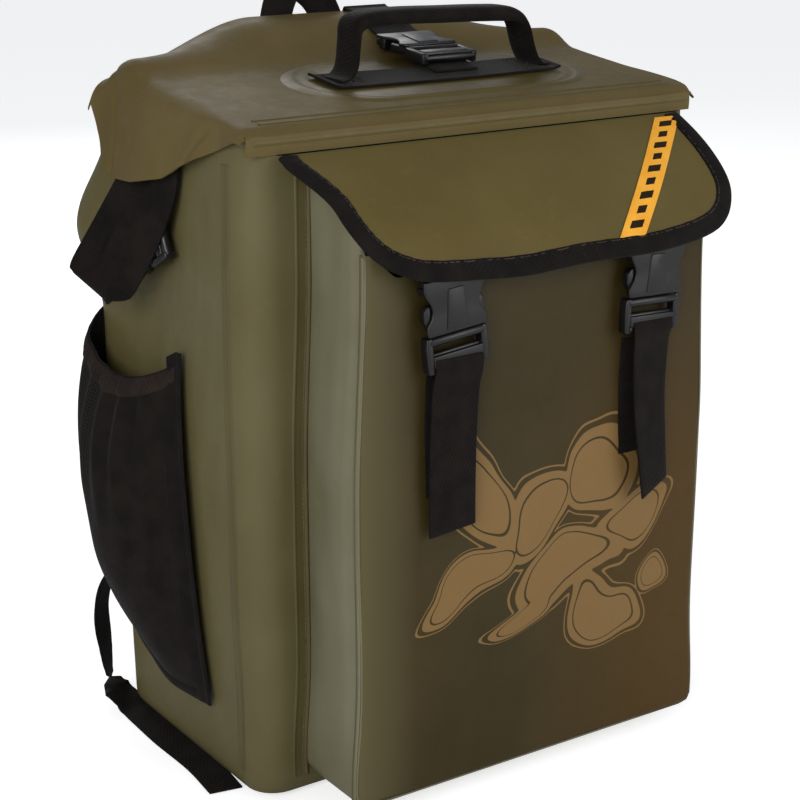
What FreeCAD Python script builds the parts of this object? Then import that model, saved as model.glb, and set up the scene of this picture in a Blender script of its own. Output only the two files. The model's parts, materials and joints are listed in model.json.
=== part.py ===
"""Tackle backpack: roll-top tarpaulin pack with a flapped front pocket, clips and straps.

Frame: millimetres, +Z up, origin on the floor at the centre of the main body's base,
the front pocket faces -Y, +X is to the right when looking at the front.
"""
import FreeCAD, Part
import math
import os
import Sketcher

VECTOR = FreeCAD.Vector

# Driving dimensions: alias, value in millimetres or degrees, what it is.
DIMENSIONS = [
    ("pack_width", 384, "main body, side to side"),
    ("pack_depth", 217, "main body, front to back"),
    ("corner_radius", 24, "upright corners of the main body"),
    ("corner_wing", 4, "flat stretch of the end walls past their corners"),
    ("front_height", 466, "top edge of the front wall"),
    ("top_front", 484, "top surface at the front edge"),
    ("top_middle", 503, "top surface just before the roll"),
    ("top_roll", 528, "top of the rolled closure"),
    ("side_droop", 476, "height of the back wall at its corners"),
    ("roll_depth", 50, "rolled closure, front to back"),
    ("fabric", 2, "coated tarpaulin with its lining"),
    ("base_thick", 3, "floor panel of the main body"),
    ("gap", 0.5, "clearance between pieces that move apart"),
    ("fold_gap", 1.5, "clearance under folded fabric"),
    ("pocket_width", 298, "front pocket, side to side"),
    ("pocket_depth", 66, "front pocket, front to back"),
    ("pocket_low", 16, "lower edge of the front pocket"),
    ("pocket_high", 440, "upper edge of the front pocket at the main body"),
    ("pocket_mouth", 392, "upper edge of the front pocket's face"),
    ("flap_width", 338, "front flap, side to side"),
    ("flap_length", 116, "front flap, hinge to free edge"),
    ("flap_slope", 38, "slope of the closed flap below level, degrees"),
    ("flap_corner", 42, "rounded corners of the flap"),
    ("flap_thick", 2.5, "front flap"),
    ("binding", 12, "tape round the free edge of the flap"),
    ("label_width", 22, "ribbon label on the flap"),
    ("web_wide", 38, "wide webbing"),
    ("web_narrow", 25, "narrow webbing"),
    ("web_thick", 1.8, "webbing thickness"),
    ("clip_width", 50, "side-release clip, across"),
    ("clip_thick", 12, "side-release clip, front to back"),
    ("socket_length", 38, "female half of the clip"),
    ("socket_mouth", 25, "depth of the female half's mouth"),
    ("plug_length", 27, "ladder part of the male half"),
    ("clip_wall", 2.5, "plates of the female half"),
    ("arm_thick", 6, "sprung arms of the clip"),
    ("clip_spread", 87, "front clips, from the centre line"),
    ("clip_high", 392, "top of the closed front clips"),
    ("tail_low", 212, "lower end of the front clip tails"),
    ("mesh_low", 40, "side pocket, lower edge"),
    ("mesh_high", 308, "side pocket, upper edge of the mesh"),
    ("elastic", 12, "elastic tape above the mesh"),
    ("mesh_front", 24, "side pocket, front edge ahead of the middle"),
    ("mesh_bulge", 49, "side pocket, how far it stands out"),
    ("ear_thick", 15, "folded roll end on the side"),
    ("ear_low", 436, "lower tip of the folded roll end"),
    ("ear_web", 48, "webbing that hangs from the roll end"),
    ("ear_web_low", 360, "fold at the bottom of that webbing"),
    ("side_clip_y", 22, "side clip, behind the middle"),
    ("side_clip_z", 395, "side clip, height of its mouth"),
    ("handle_x", 21, "handle, to the right of the middle"),
    ("handle_y", 18, "handle, ahead of the middle"),
    ("handle_span", 158, "handle, foot to foot"),
    ("handle_rise", 36, "handle, height above its plate"),
    ("plate_length", 200, "webbing plate under the handle"),
    ("patch_length", 250, "welded patch under the handle plate"),
    ("patch_depth", 110, "welded patch, front to back"),
    ("patch_thick", 1.2, "welded patch"),
    ("back_pad_width", 250, "foam back pad, across"),
    ("back_pad_low", 50, "foam back pad, lower edge"),
    ("back_pad_high", 440, "foam back pad, upper edge"),
    ("back_pad_thick", 12, "foam back pad"),
    ("shoulder_width", 66, "padded shoulder strap, across"),
    ("shoulder_thick", 13, "padded shoulder strap"),
    ("shoulder_spread", 70, "shoulder straps, from the centre line"),
    ("shoulder_high", 452, "upper end of the shoulder straps"),
    ("shoulder_low", 175, "lower end of the shoulder straps"),
    ("shoulder_flare", 30, "how much wider apart their lower ends are, each side"),
    ("anchor_spread", 166, "lower strap anchors, from the centre line"),
    ("anchor_low", 22, "lower strap anchors, above the floor"),
    ("haul_width", 66, "haul loop, across"),
    ("haul_height", 56, "haul loop, foot to top"),
    ("top_clip_y", 12, "top clip's mouth, behind the middle"),
    ("shoulder_reach", 52, "how far the shoulder straps stand off"),
]

document = FreeCAD.newDocument("backpack")
sheet = document.addObject("Spreadsheet::Sheet", "dims")
for row, (alias, number, meaning) in enumerate(DIMENSIONS, start=1):
    sheet.set("A%d" % row, meaning)
    sheet.set("B%d" % row, str(number))
    sheet.setAlias("B%d" % row, alias)
document.recompute()


class Size:
    """A length kept as a formula on the sheet, together with the number it gives."""

    def __init__(self, formula, number):
        self.formula = formula
        self.number = float(number)

    def joined(self, sign, other, number):
        return Size("(%s %s %s)" % (self.formula, sign, other.formula), number)

    def __add__(self, other):
        other = size(other)
        return self.joined("+", other, self.number + other.number)

    def __sub__(self, other):
        other = size(other)
        return self.joined("-", other, self.number - other.number)

    def __mul__(self, other):
        other = size(other)
        return self.joined("*", other, self.number * other.number)

    def __truediv__(self, other):
        other = size(other)
        return self.joined("/", other, self.number / other.number)

    def __radd__(self, other):
        return size(other) + self

    def __rsub__(self, other):
        return size(other) - self

    def __rmul__(self, other):
        return size(other) * self

    def __neg__(self):
        return size(0) - self


def size(value):
    """A plain number as a Size; a Size as it is."""
    if isinstance(value, Size):
        return value
    text = repr(float(value))
    return Size(text if value >= 0 else "(0 - %s)" % repr(-float(value)), value)


class Dims:
    """Every driving dimension by its alias."""


dim = Dims()
for alias, number, meaning in DIMENSIONS:
    setattr(dim, alias, Size("dims." + alias, sheet.get(alias)))

# Places that several pieces share.
HALF_WIDTH = dim.pack_width / 2
HALF_DEPTH = dim.pack_depth / 2
FLAT_DEPTH = HALF_DEPTH - dim.corner_radius - dim.corner_wing
POCKET_HALF = dim.pocket_width / 2
POCKET_FRONT = HALF_DEPTH + dim.pocket_depth
HINGE_Z = dim.front_height
ROLL_FRONT = HALF_DEPTH - dim.roll_depth
CLIP_Y = -(POCKET_FRONT + dim.web_thick + 2 * dim.gap + dim.clip_thick / 2)
CLIP_MOUTH_Z = dim.clip_high - dim.socket_length
SURFACE_SLOPE = (dim.top_middle - dim.top_front) / (ROLL_FRONT - 6 + HALF_DEPTH)
SHOULDER_Y = HALF_DEPTH + dim.back_pad_thick + dim.shoulder_thick / 2 + 1
SHOULDER_LOW_X = dim.shoulder_spread + dim.shoulder_flare



def top_surface(y):
    """Height of the sloping top at a place between its front edge and the roll."""
    return dim.top_front + (y + HALF_DEPTH) * SURFACE_SLOPE


HANDLE_Z = top_surface(-dim.handle_y) + dim.gap
FOOT_Z = HANDLE_Z + dim.patch_thick + dim.web_thick + dim.gap * 2

sub_parts = []


def keep(item):
    """Adds a finished sub-part to those that are checked and written."""
    sub_parts.append(item)
    return item


def new_body(label):
    body = document.addObject("PartDesign::Body", label)
    body.Label = label
    return keep(body)


def origin_plane(body, role):
    return [item for item in body.Origin.OriginFeatures if item.Role == role][0]


def place(item, at, rotation=None):
    """Puts a sub-part at a point whose three coordinates are formulas."""
    turn = rotation if rotation else FreeCAD.Rotation()
    point = [size(value) for value in at]
    item.Placement = FreeCAD.Placement(VECTOR(*[value.number for value in point]), turn)
    for letter, value in zip("xyz", point):
        item.setExpression("Placement.Base." + letter, value.formula)


def pin_vertex(sketch, edge, end, x, y):
    """Ties one vertex of a sketch to its two coordinates."""
    for kind, value in (("DistanceX", x), ("DistanceY", y)):
        index = sketch.addConstraint(Sketcher.Constraint(kind, -1, 1, edge, end, value.number))
        sketch.setExpression("Constraints[%d]" % index, value.formula)


def polyline(body, name, plane, points, closed=True):
    """A sketch of straight edges whose vertices are all tied to formulas."""
    sketch = body.newObject("Sketcher::SketchObject", name)
    sketch.AttachmentSupport = [(origin_plane(body, plane + "_Plane"), "")]
    sketch.MapMode = "FlatFace"
    places = [(size(x), size(y)) for x, y in points]
    ends = places[1:] + places[:1] if closed else places[1:]
    for (x1, y1), (x2, y2) in zip(places, ends):
        start = VECTOR(x1.number, y1.number, 0)
        finish = VECTOR(x2.number, y2.number, 0)
        sketch.addGeometry(Part.LineSegment(start, finish), False)
    edge_count = len(ends)
    joins = edge_count if closed else edge_count - 1
    for edge in range(joins):
        following = (edge + 1) % edge_count
        sketch.addConstraint(Sketcher.Constraint("Coincident", edge, 2, following, 1))
    for edge in range(edge_count):
        pin_vertex(sketch, edge, 1, *places[edge])
    if not closed:
        pin_vertex(sketch, edge_count - 1, 2, *places[-1])
    return sketch


def rectangle(x1, y1, x2, y2):
    return [(x1, y1), (x2, y1), (x2, y2), (x1, y2)]


def pad(body, name, sketch, length, middle=False, backwards=False):
    feature = body.newObject("PartDesign::Pad", name)
    feature.Profile = sketch
    feature.Length = size(length).number
    feature.setExpression("Length", size(length).formula)
    feature.SideType = "Symmetric" if middle else "One side"
    feature.Reversed = backwards
    return feature


def cut(body, name, sketch):
    """A pocket right through, both ways from its sketch; it has to remove something."""
    document.recompute()
    before = body.Shape.Volume
    feature = body.newObject("PartDesign::Pocket", name)
    feature.Profile = sketch
    feature.Type = "ThroughAll"
    feature.SideType = "Symmetric"
    document.recompute()
    if body.Shape.Volume > before - 0.001:
        raise RuntimeError("nothing was cut from %s" % body.Label)
    return feature


def cut_to(body, name, sketch, depth, backwards=False):
    """A pocket of one depth; it has to remove something."""
    document.recompute()
    before = body.Shape.Volume
    feature = body.newObject("PartDesign::Pocket", name)
    feature.Profile = sketch
    feature.Length = size(depth).number
    feature.setExpression("Length", size(depth).formula)
    feature.Reversed = backwards
    document.recompute()
    if body.Shape.Volume > before - 0.001:
        raise RuntimeError("nothing was cut from %s" % body.Label)
    return feature


def round_edges(body, name, radius, chosen):
    """Fillets the edges of the tip whose two ends pass the test."""
    document.recompute()
    tip = body.Tip
    names = []
    for index, edge in enumerate(tip.Shape.Edges, start=1):
        ends = [vertex.Point for vertex in edge.Vertexes]
        if len(ends) == 2 and chosen(ends[0], ends[1]):
            names.append("Edge%d" % index)
    feature = body.newObject("PartDesign::Fillet", name)
    feature.Base = (tip, names)
    feature.Radius = size(radius).number
    feature.setExpression("Radius", size(radius).formula)
    return feature


def along(axis, *limits):
    """A test for edges that run along one axis, with optional bounds on the other two."""
    def chosen(first, second):
        step = second - first
        across = [abs(value) for value in (step.x, step.y, step.z)]
        if across["XYZ".index(axis)] < 0.9 * step.Length:
            return False
        return all(limit(first) for limit in limits)
    return chosen


def plate(label, plane, points, thickness, at=(0, 0, 0), middle=False, rotation=None):
    """A flat piece: one outline pulled to a thickness."""
    body = new_body(label)
    pad(body, "slab", polyline(body, "outline", plane, points), thickness, middle)
    place(body, at, rotation)
    return body


def strap(label, points, width, thickness, at=(0, 0, 0), rotation=None):
    """Webbing or padding swept along straight runs in its own YZ plane."""
    body = new_body(label)
    spine = polyline(body, "run", "YZ", points, closed=False)
    document.recompute()
    half_width = size(width) / 2
    half_thick = size(thickness) / 2
    section = body.newObject("Sketcher::SketchObject", "section")
    corners = rectangle(-half_width, -half_thick, half_width, half_thick)
    places = [(size(x), size(y)) for x, y in corners]
    for first, second in zip(places, places[1:] + places[:1]):
        start = VECTOR(first[0].number, first[1].number, 0)
        finish = VECTOR(second[0].number, second[1].number, 0)
        section.addGeometry(Part.LineSegment(start, finish), False)
    for edge in range(4):
        section.addConstraint(Sketcher.Constraint("Coincident", edge, 2, (edge + 1) % 4, 1))
    for edge in range(4):
        pin_vertex(section, edge, 1, *places[edge])
    section.AttachmentSupport = [(spine, "Edge1")]
    section.MapMode = "NormalToEdge"
    section.MapPathParameter = 0.0
    pipe = body.newObject("PartDesign::AdditivePipe", "sweep")
    pipe.Profile = section
    pipe.Spine = (spine, ["Edge%d" % number for number in range(1, len(points))])
    pipe.Mode = "Standard"
    pipe.Transition = "Right corner"
    place(body, at, rotation)
    return body


# ---------------------------------------------------------------- main body

def end_wall(label, facing, height):
    """Front or back wall, which turns both upright corners; facing is -1 or 1."""
    wall = dim.fabric
    outer = facing * HALF_DEPTH
    inner = facing * (HALF_DEPTH - wall)
    wing = facing * FLAT_DEPTH
    points = [
        (-HALF_WIDTH, wing), (-HALF_WIDTH, outer), (HALF_WIDTH, outer), (HALF_WIDTH, wing),
        (HALF_WIDTH - wall, wing), (HALF_WIDTH - wall, inner),
        (wall - HALF_WIDTH, inner), (wall - HALF_WIDTH, wing),
    ]
    body = new_body(label)
    pad(body, "wall", polyline(body, "plan", "XY", points), height - dim.base_thick)
    limit = HALF_DEPTH.number - 0.5
    inner_limit = HALF_DEPTH.number - wall.number
    round_edges(body, "outer_corners", dim.corner_radius,
                along("Z", lambda point: abs(point.y) > limit))
    round_edges(body, "inner_corners", dim.corner_radius - wall,
                along("Z", lambda point: abs(abs(point.y) - inner_limit) < 0.1
                      and abs(point.x) > HALF_WIDTH.number - wall.number - 0.1))
    place(body, (0, 0, dim.base_thick))
    return body


def back_wall():
    """Back wall, as high as the roll in the middle and sloping down to both corners."""
    body = end_wall("back_panel", 1, dim.top_roll - dim.fabric * 2)
    low = dim.side_droop - dim.base_thick
    high = dim.top_roll
    inside = HALF_WIDTH - dim.corner_radius * 2
    for name, hand in (("left_slope", -1), ("right_slope", 1)):
        corner = [(hand * inside, high), (hand * (HALF_WIDTH + 1), high),
                  (hand * (HALF_WIDTH + 1), low)]
        cut(body, name, polyline(body, name + "_outline", "XZ", corner))
    return body


def side_wall(label, hand):
    """Flat side wall between the rounded corners; its top follows the folded closure."""
    edge = FLAT_DEPTH - dim.gap / 5
    points = [
        (-edge, 0), (edge, 0), (edge, dim.side_droop - dim.base_thick),
        (-edge + dim.corner_radius, dim.side_droop - dim.base_thick),
        (-edge, dim.front_height - dim.base_thick),
    ]
    outer = HALF_WIDTH if hand > 0 else -HALF_WIDTH + dim.fabric
    return plate(label, "YZ", points, dim.fabric, (outer - dim.fabric, 0, dim.base_thick))


def base_wall():
    """Floor of the main body, rounded like the walls that stand on it."""
    body = new_body("base_panel")
    outline = rectangle(-HALF_WIDTH, -HALF_DEPTH, HALF_WIDTH, HALF_DEPTH)
    pad(body, "floor", polyline(body, "plan", "XY", outline), dim.base_thick)
    round_edges(body, "corners", dim.corner_radius, along("Z"))
    place(body, (0, 0, 0))
    return body


def back_pad():
    """Foam pad on the wearer's side."""
    body = new_body("back_pad")
    half = dim.back_pad_width / 2
    outline = rectangle(-half, dim.back_pad_low, half, dim.back_pad_high)
    pad(body, "foam", polyline(body, "outline", "XZ", outline), dim.back_pad_thick)
    round_edges(body, "corners", dim.corner_radius, along("Y"))
    place(body, (0, HALF_DEPTH + dim.back_pad_thick, 0))
    return body


# ------------------------------------------------------------- front pocket

def pocket_face():
    """Outer face of the front pocket; its mouth is under the flap."""
    outline = rectangle(-POCKET_HALF, dim.pocket_low, POCKET_HALF, dim.pocket_mouth)
    return plate("pocket_face", "XZ", outline, dim.fabric,
                 (0, dim.fabric - POCKET_FRONT, 0))


def pocket_gusset():
    """One strip that makes both sides and the bottom of the front pocket."""
    body = new_body("pocket_gusset")
    wall = dim.fabric
    inside = POCKET_HALF - wall
    low = dim.pocket_low
    outline = [
        (-POCKET_HALF, low), (POCKET_HALF, low), (POCKET_HALF, dim.pocket_high),
        (inside, dim.pocket_high), (inside, low + wall), (-inside, low + wall),
        (-inside, dim.pocket_high), (-POCKET_HALF, dim.pocket_high),
    ]
    pad(body, "strip", polyline(body, "outline", "XZ", outline), dim.pocket_depth - wall)
    slope = [(0, dim.pocket_high), (wall - dim.pocket_depth, dim.pocket_mouth),
             (wall - dim.pocket_depth - 1, dim.pocket_high + 1), (0, dim.pocket_high + 1)]
    cut(body, "mouth_slope", polyline(body, "slope_outline", "YZ", slope))
    place(body, (0, -HALF_DEPTH, 0))
    return body


def front_anchor(label, hand):
    """Fixed webbing sewn up the pocket's face, which ends below the clip's ladder."""
    top = CLIP_MOUTH_Z - dim.plug_length - 6
    half = dim.web_wide / 2
    outline = rectangle(-half, dim.tail_low + 26, half, top)
    return plate(label, "XZ", outline, dim.web_thick,
                 (hand * dim.clip_spread, -POCKET_FRONT, 0))


# ---------------------------------------------------------------- side pockets

def mesh_pocket(label, hand):
    """Side pocket: an open-topped shell that bulges away from the side wall."""
    body = new_body(label)
    wall = dim.fabric
    bulge = dim.mesh_bulge
    rise = dim.mesh_high - dim.mesh_low
    profile = [
        (0, 0), (hand * bulge * 0.55, rise * 0.04), (hand * bulge * 0.95, rise * 0.25),
        (hand * bulge, rise * 0.45), (hand * bulge * 0.8, rise * 0.75),
        (hand * bulge * 0.4, rise), (0, rise),
    ]
    inside = [
        (-hand * 2, wall), (hand * (bulge * 0.55 - wall), rise * 0.04 + wall),
        (hand * (bulge * 0.95 - wall), rise * 0.25), (hand * (bulge - wall), rise * 0.45),
        (hand * (bulge * 0.8 - wall), rise * 0.75), (hand * (bulge * 0.4 - wall), rise + 5),
        (-hand * 2, rise + 5),
    ]
    length = HALF_DEPTH + dim.mesh_front - dim.fold_gap
    pad(body, "bulge", polyline(body, "profile", "XZ", profile), length)
    hollow = polyline(body, "hollow", "XZ", inside)
    hollow.AttachmentOffset = FreeCAD.Placement(VECTOR(0, 0, wall.number), FreeCAD.Rotation())
    hollow.setExpression("AttachmentOffset.Base.z", wall.formula)
    cut_to(body, "inside", hollow, length - wall * 2, backwards=True)
    place(body, (hand * HALF_WIDTH, HALF_DEPTH - dim.fold_gap, dim.mesh_low))
    return body


def pocket_elastic(label, hand):
    """Elastic tape that stands on the mesh along the side pocket's mouth."""
    outer = dim.mesh_bulge * 0.4
    outline = rectangle(hand * (outer - dim.fabric), 0, hand * outer, dim.elastic)
    length = HALF_DEPTH + dim.mesh_front - dim.fold_gap
    return plate(label, "XZ", outline, length,
                 (hand * HALF_WIDTH, HALF_DEPTH - dim.fold_gap, dim.mesh_high))


# ------------------------------------------------------------------ clips

def clip_socket(label, at, rotation=None, open_back=False):
    """Female half of a side-release clip; its mouth is at local z = 0 and faces down."""
    body = new_body(label)
    half = dim.clip_width / 2
    waist = half - 3
    length = dim.socket_length
    outline = [(-half, 0), (half, 0), (half, dim.socket_mouth * 0.3),
               (waist, dim.socket_mouth * 0.5), (waist, dim.socket_mouth * 0.9), (half, length - 9),
               (half - 4, length), (4 - half, length), (-half, length - 9),
               (-waist, dim.socket_mouth * 0.9), (-waist, dim.socket_mouth * 0.5),
               (-half, dim.socket_mouth * 0.3)]
    pad(body, "block", polyline(body, "outline", "XZ", outline), dim.clip_thick, middle=True)
    front = dim.clip_wall - dim.clip_thick / 2
    back = dim.clip_thick / 2 + 1 if open_back else dim.clip_thick / 2 - dim.clip_wall
    mouth = rectangle(front, -1, back, dim.socket_mouth)
    cut(body, "mouth", polyline(body, "mouth_outline", "YZ", mouth))
    slot_half = dim.web_wide / 2 + 1
    slot = rectangle(-slot_half, length - 8, slot_half, length - 4)
    cut(body, "slot", polyline(body, "slot_outline", "XZ", slot))
    place(body, at, rotation)
    return body


def clip_plug(label, at, rotation=None, arms=False):
    """Male half of a side-release clip: ladder below, guide tongue above."""
    body = new_body(label)
    half = dim.clip_width / 2
    low = -dim.plug_length
    thick = dim.clip_thick - dim.clip_wall * 2 - dim.gap * 2
    outline = [(-half + 2, low), (half - 2, low), (half, -6), (half - 2, -dim.gap)]
    tongue_top = dim.socket_mouth - 4
    if arms:
        outline += [(half - 5, 0), (half - 2, 8), (half - 2, tongue_top - 2),
                    (half - 9, tongue_top), (half - 10, 2)]
    outline += [(5, -dim.gap), (4, tongue_top), (-4, tongue_top), (-5, -dim.gap)]
    if arms:
        outline += [(10 - half, 2), (9 - half, tongue_top),
                    (2 - half, tongue_top - 2), (2 - half, 8), (5 - half, 0)]
    outline += [(-half + 2, -dim.gap), (-half, -6)]
    pad(body, "block", polyline(body, "outline", "XZ", outline), thick, middle=True)
    slot_half = dim.web_wide / 2 + 1
    for name, slot_low in (("upper_slot", low + 14), ("lower_slot", low + 4)):
        slot = rectangle(-slot_half, slot_low, slot_half, slot_low + 4.5)
        cut(body, name, polyline(body, name + "_outline", "XZ", slot))
    place(body, at, rotation)
    return body


def clip_arm(label, at, hand):
    """One sprung arm of a front clip, whose pad shows at the socket's waist."""
    half = dim.clip_width / 2
    tongue_top = dim.socket_mouth - 4
    points = [(half - 10, 0.5), (half - 5, 0.5), (half - 1, 9), (half - 1, tongue_top - 5),
              (half - 9, tongue_top), (half - 10, tongue_top)]
    outline = [(hand * x, z) for x, z in points]
    return plate(label, "XZ", outline, dim.arm_thick, at, middle=True)


# -------------------------------------------------------------------- flap

def flap_rotation():
    """Turns a piece drawn flat in the XZ plane so that it lies along the closed flap."""
    return FreeCAD.Rotation(VECTOR(1, 0, 0), dim.flap_slope.number - 90)


def flap_place():
    return (0, -HALF_DEPTH - dim.gap * 5 - dim.flap_thick, HINGE_Z - dim.gap * 2)


def flap_outline(inset):
    """Flap seen square on, hinge edge at z = 0, narrower by the inset on three sides."""
    half = dim.flap_width / 2 - inset
    low = inset - dim.flap_length
    return rectangle(-half, low, half, 0)


def flap_panel():
    """Fabric of the flap."""
    body = new_body("flap_panel")
    outline = polyline(body, "outline", "XZ", flap_outline(dim.gap * 6))
    pad(body, "sheet", outline, dim.flap_thick)
    low = -dim.flap_length.number + 1
    round_edges(body, "corners", dim.flap_corner - dim.gap * 6,
                along("Y", lambda point: point.z < low + 5))
    place(body, flap_place(), flap_rotation())
    return body


def flap_binding():
    """Tape folded over the free edge of the flap, as a raised rim outside the fabric."""
    body = new_body("flap_binding")
    pad(body, "tape", polyline(body, "outline", "XZ", flap_outline(size(0))),
        dim.flap_thick + 1.6)
    inset = dim.gap * 6
    half = dim.flap_width / 2 - inset
    bottom = inset - dim.flap_length
    hole = rectangle(-half, bottom, half, 5)
    cut(body, "inside", polyline(body, "inside_outline", "XZ", hole))
    outer_low = 1 - dim.flap_length.number
    round_edges(body, "outer_corners", dim.flap_corner,
                along("Y", lambda point: point.z < outer_low))
    inner_low = bottom.number
    round_edges(body, "inner_corners", dim.flap_corner - inset,
                along("Y", lambda point: abs(point.z - inner_low) < 0.1
                      and abs(abs(point.x) - half.number) < 0.1))
    place(body, flap_place(), flap_rotation())
    return body


def flap_label():
    """Ribbon sewn slantwise across the flap."""
    start = dim.flap_width / 2 - 30
    lean = 66
    across = dim.label_width
    outline = [(start - across, -2), (start, -2),
               (start - lean, 4 - dim.flap_length + dim.gap * 6),
               (start - lean - across, 4 - dim.flap_length + dim.gap * 6)]
    body = plate("flap_label", "XZ", outline, dim.gap, rotation=flap_rotation())
    x, y, z = flap_place()
    lift = flap_rotation().multVec(VECTOR(0, -1, 0))
    place(body, (x, y + dim.flap_thick * lift.y, z + dim.flap_thick * lift.z), flap_rotation())
    return body


def flap_tab(label, hand):
    """Webbing under the flap that carries a clip's female half."""
    run = math.radians(dim.flap_slope.number)
    reach = dim.flap_length * 0.55
    start_y = -HALF_DEPTH - dim.gap * 4 - reach * math.cos(run)
    start_z = HINGE_Z - dim.gap * 8 - dim.flap_thick - reach * math.sin(run)
    points = [(start_y, start_z), (CLIP_Y, dim.clip_high + 5), (CLIP_Y, dim.clip_high)]
    return strap(label, points, dim.web_wide, dim.web_thick, (hand * dim.clip_spread, 0, 0))


def front_tail(label, hand):
    """Loose end of the webbing, which hangs down from the clip's ladder."""
    bar = CLIP_MOUTH_Z - dim.plug_length
    front = CLIP_Y - dim.clip_thick / 2 + dim.clip_wall - dim.web_thick / 2 - dim.gap / 5
    points = [(front, bar + 6), (front, bar - 4), (CLIP_Y + 1, bar - 22), (CLIP_Y + 1, dim.tail_low)]
    return strap(label, points, dim.web_wide, dim.web_thick, (hand * dim.clip_spread, 0, 0))


# ---------------------------------------------------------------- roll top

def roll_cover():
    """Top of the pack: lip at the front, sloping top, and the fabric over the roll."""
    front = -HALF_DEPTH
    lip = dim.front_height + dim.gap * 2
    thick = dim.fabric + 1
    points = [
        (front, lip), (front, dim.top_front), (ROLL_FRONT - 6, dim.top_middle),
        (ROLL_FRONT + 12, dim.top_roll), (HALF_DEPTH, dim.top_roll),
        (HALF_DEPTH, dim.top_roll - thick), (ROLL_FRONT + 14, dim.top_roll - thick),
        (ROLL_FRONT - 4, dim.top_middle - thick), (front + thick, dim.top_front - thick),
        (front + thick, lip),
    ]
    body = new_body("roll_cover")
    outline = polyline(body, "profile", "YZ", points)
    pad(body, "sheet", outline, dim.pack_width + dim.gap * 2, middle=True)
    place(body, (0, 0, 0))
    return body


def roll_bundle():
    """The mouth of the pack, rolled up under the cover."""
    low = dim.top_middle - 8
    high = dim.top_roll - dim.fabric - 1 - dim.gap
    back = HALF_DEPTH - dim.fabric - dim.fold_gap
    points = [(ROLL_FRONT + 16, low), (back, low), (back, high), (ROLL_FRONT + 16, high)]
    body = new_body("roll_bundle")
    length = dim.pack_width - dim.corner_radius * 4 - 8
    pad(body, "roll", polyline(body, "profile", "YZ", points), length, middle=True)
    inner = rectangle(ROLL_FRONT + 22, low + 10, back - 6, low + 14)
    cut(body, "core", polyline(body, "core_outline", "YZ", inner))
    place(body, (0, 0, 0))
    return body


def mouth_stiffener():
    """Flat plastic strip in the core of the roll."""
    low = dim.top_middle + 2
    back = HALF_DEPTH - dim.fabric - dim.fold_gap - 6
    outline = rectangle(ROLL_FRONT + 22.2, low + 0.2, back - 0.2, low + 3.8)
    length = dim.pack_width - dim.corner_radius * 4 - 8
    return plate("mouth_stiffener", "YZ", outline, length, middle=True)


def roll_ear(label, hand):
    """End of the roll, folded down over the side of the pack."""
    front = -HALF_DEPTH
    points = [
        (front, dim.top_front), (front, dim.top_front - 4), (-71, dim.ear_low + 30),
        (-41, dim.ear_low + 16), (-17, dim.ear_low + 2), (54, dim.ear_low), (87, dim.ear_low + 18),
        (HALF_DEPTH, dim.side_droop + 8), (HALF_DEPTH, dim.top_middle), (60, dim.top_middle - 2),
    ]
    gap = dim.gap * 2
    x = HALF_WIDTH + gap if hand > 0 else -(HALF_WIDTH + gap + dim.ear_thick)
    return plate(label, "YZ", points, dim.ear_thick, (x, 0, 0))


def ear_strap(label, hand):
    """Webbing that leaves the roll end, hangs in a loop and returns to the side clip."""
    high = dim.ear_low - dim.gap / 5
    low = dim.ear_web_low
    points = [(0, high), (-16, high - 36), (-29, low + 14), (-30, low + 4), (-24, low),
              (-18, low + 6), (-6, low + 40)]
    turn = FreeCAD.Rotation(VECTOR(0, 0, 1), 68 * hand)
    x = hand * (HALF_WIDTH + dim.ear_thick + dim.gap * 4)
    return strap(label, points, dim.ear_web, dim.web_thick, (x, dim.side_clip_y, 0), turn)


def closing_direction():
    """Direction in which the side clips close, square to the line from the lid's hinge."""
    arm_y = dim.side_clip_y.number - HALF_DEPTH.number
    arm_z = dim.side_clip_z.number - dim.top_roll.number
    reach = math.hypot(arm_y, arm_z)
    return -arm_z / reach, arm_y / reach


def side_clip_rotation(hand):
    """Lays a clip flat on the side of the pack, with its local z along the closing move."""
    y, z = closing_direction()
    along_clip = VECTOR(0, y, z)
    outward = VECTOR(-hand, 0, 0)
    across = outward.cross(along_clip)
    return FreeCAD.Rotation(across, outward, along_clip, "ZYX")


def side_clip_place(hand):
    x = hand * (HALF_WIDTH + dim.clip_thick / 2 + dim.web_thick + dim.gap * 2)
    return x, dim.side_clip_y, dim.side_clip_z


def side_anchor(label, hand):
    """Webbing from the rear seam up to the female half of the side clip."""
    y, z = closing_direction()
    half = dim.web_wide / 2
    start = dim.socket_length
    points = rectangle(-half, start, half, start + 42)
    x, centre_y, centre_z = side_clip_place(hand)
    return plate(label, "XZ", points, dim.web_thick, (x, centre_y, centre_z),
                 middle=True, rotation=side_clip_rotation(hand))


def handle_patch():
    """Oval patch welded to the top under the handle."""
    body = new_body("handle_patch")
    half = dim.patch_length / 2
    depth = dim.patch_depth / 2
    outline = polyline(body, "outline", "XY", rectangle(-half, -depth, half, depth))
    pad(body, "sheet", outline, dim.patch_thick)
    round_edges(body, "corners", depth - 1, along("Z"))
    place(body, (dim.handle_x, -dim.handle_y, HANDLE_Z), top_rotation())
    return body


def top_rotation():
    """Slope of the top surface."""
    run = ROLL_FRONT.number - 6 + HALF_DEPTH.number
    rise = dim.top_middle.number - dim.top_front.number
    return FreeCAD.Rotation(VECTOR(1, 0, 0), math.degrees(math.atan2(rise, run)))


def handle_plate():
    """Webbing sewn flat on the patch, which holds both feet of the handle."""
    half = dim.plate_length / 2
    across = dim.web_wide / 2
    outline = rectangle(-half, -across, half, across)
    lift = dim.patch_thick + dim.gap / 5
    return plate("handle_plate", "XY", outline, dim.web_thick,
                 (dim.handle_x, -dim.handle_y, HANDLE_Z + lift), rotation=top_rotation())


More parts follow.
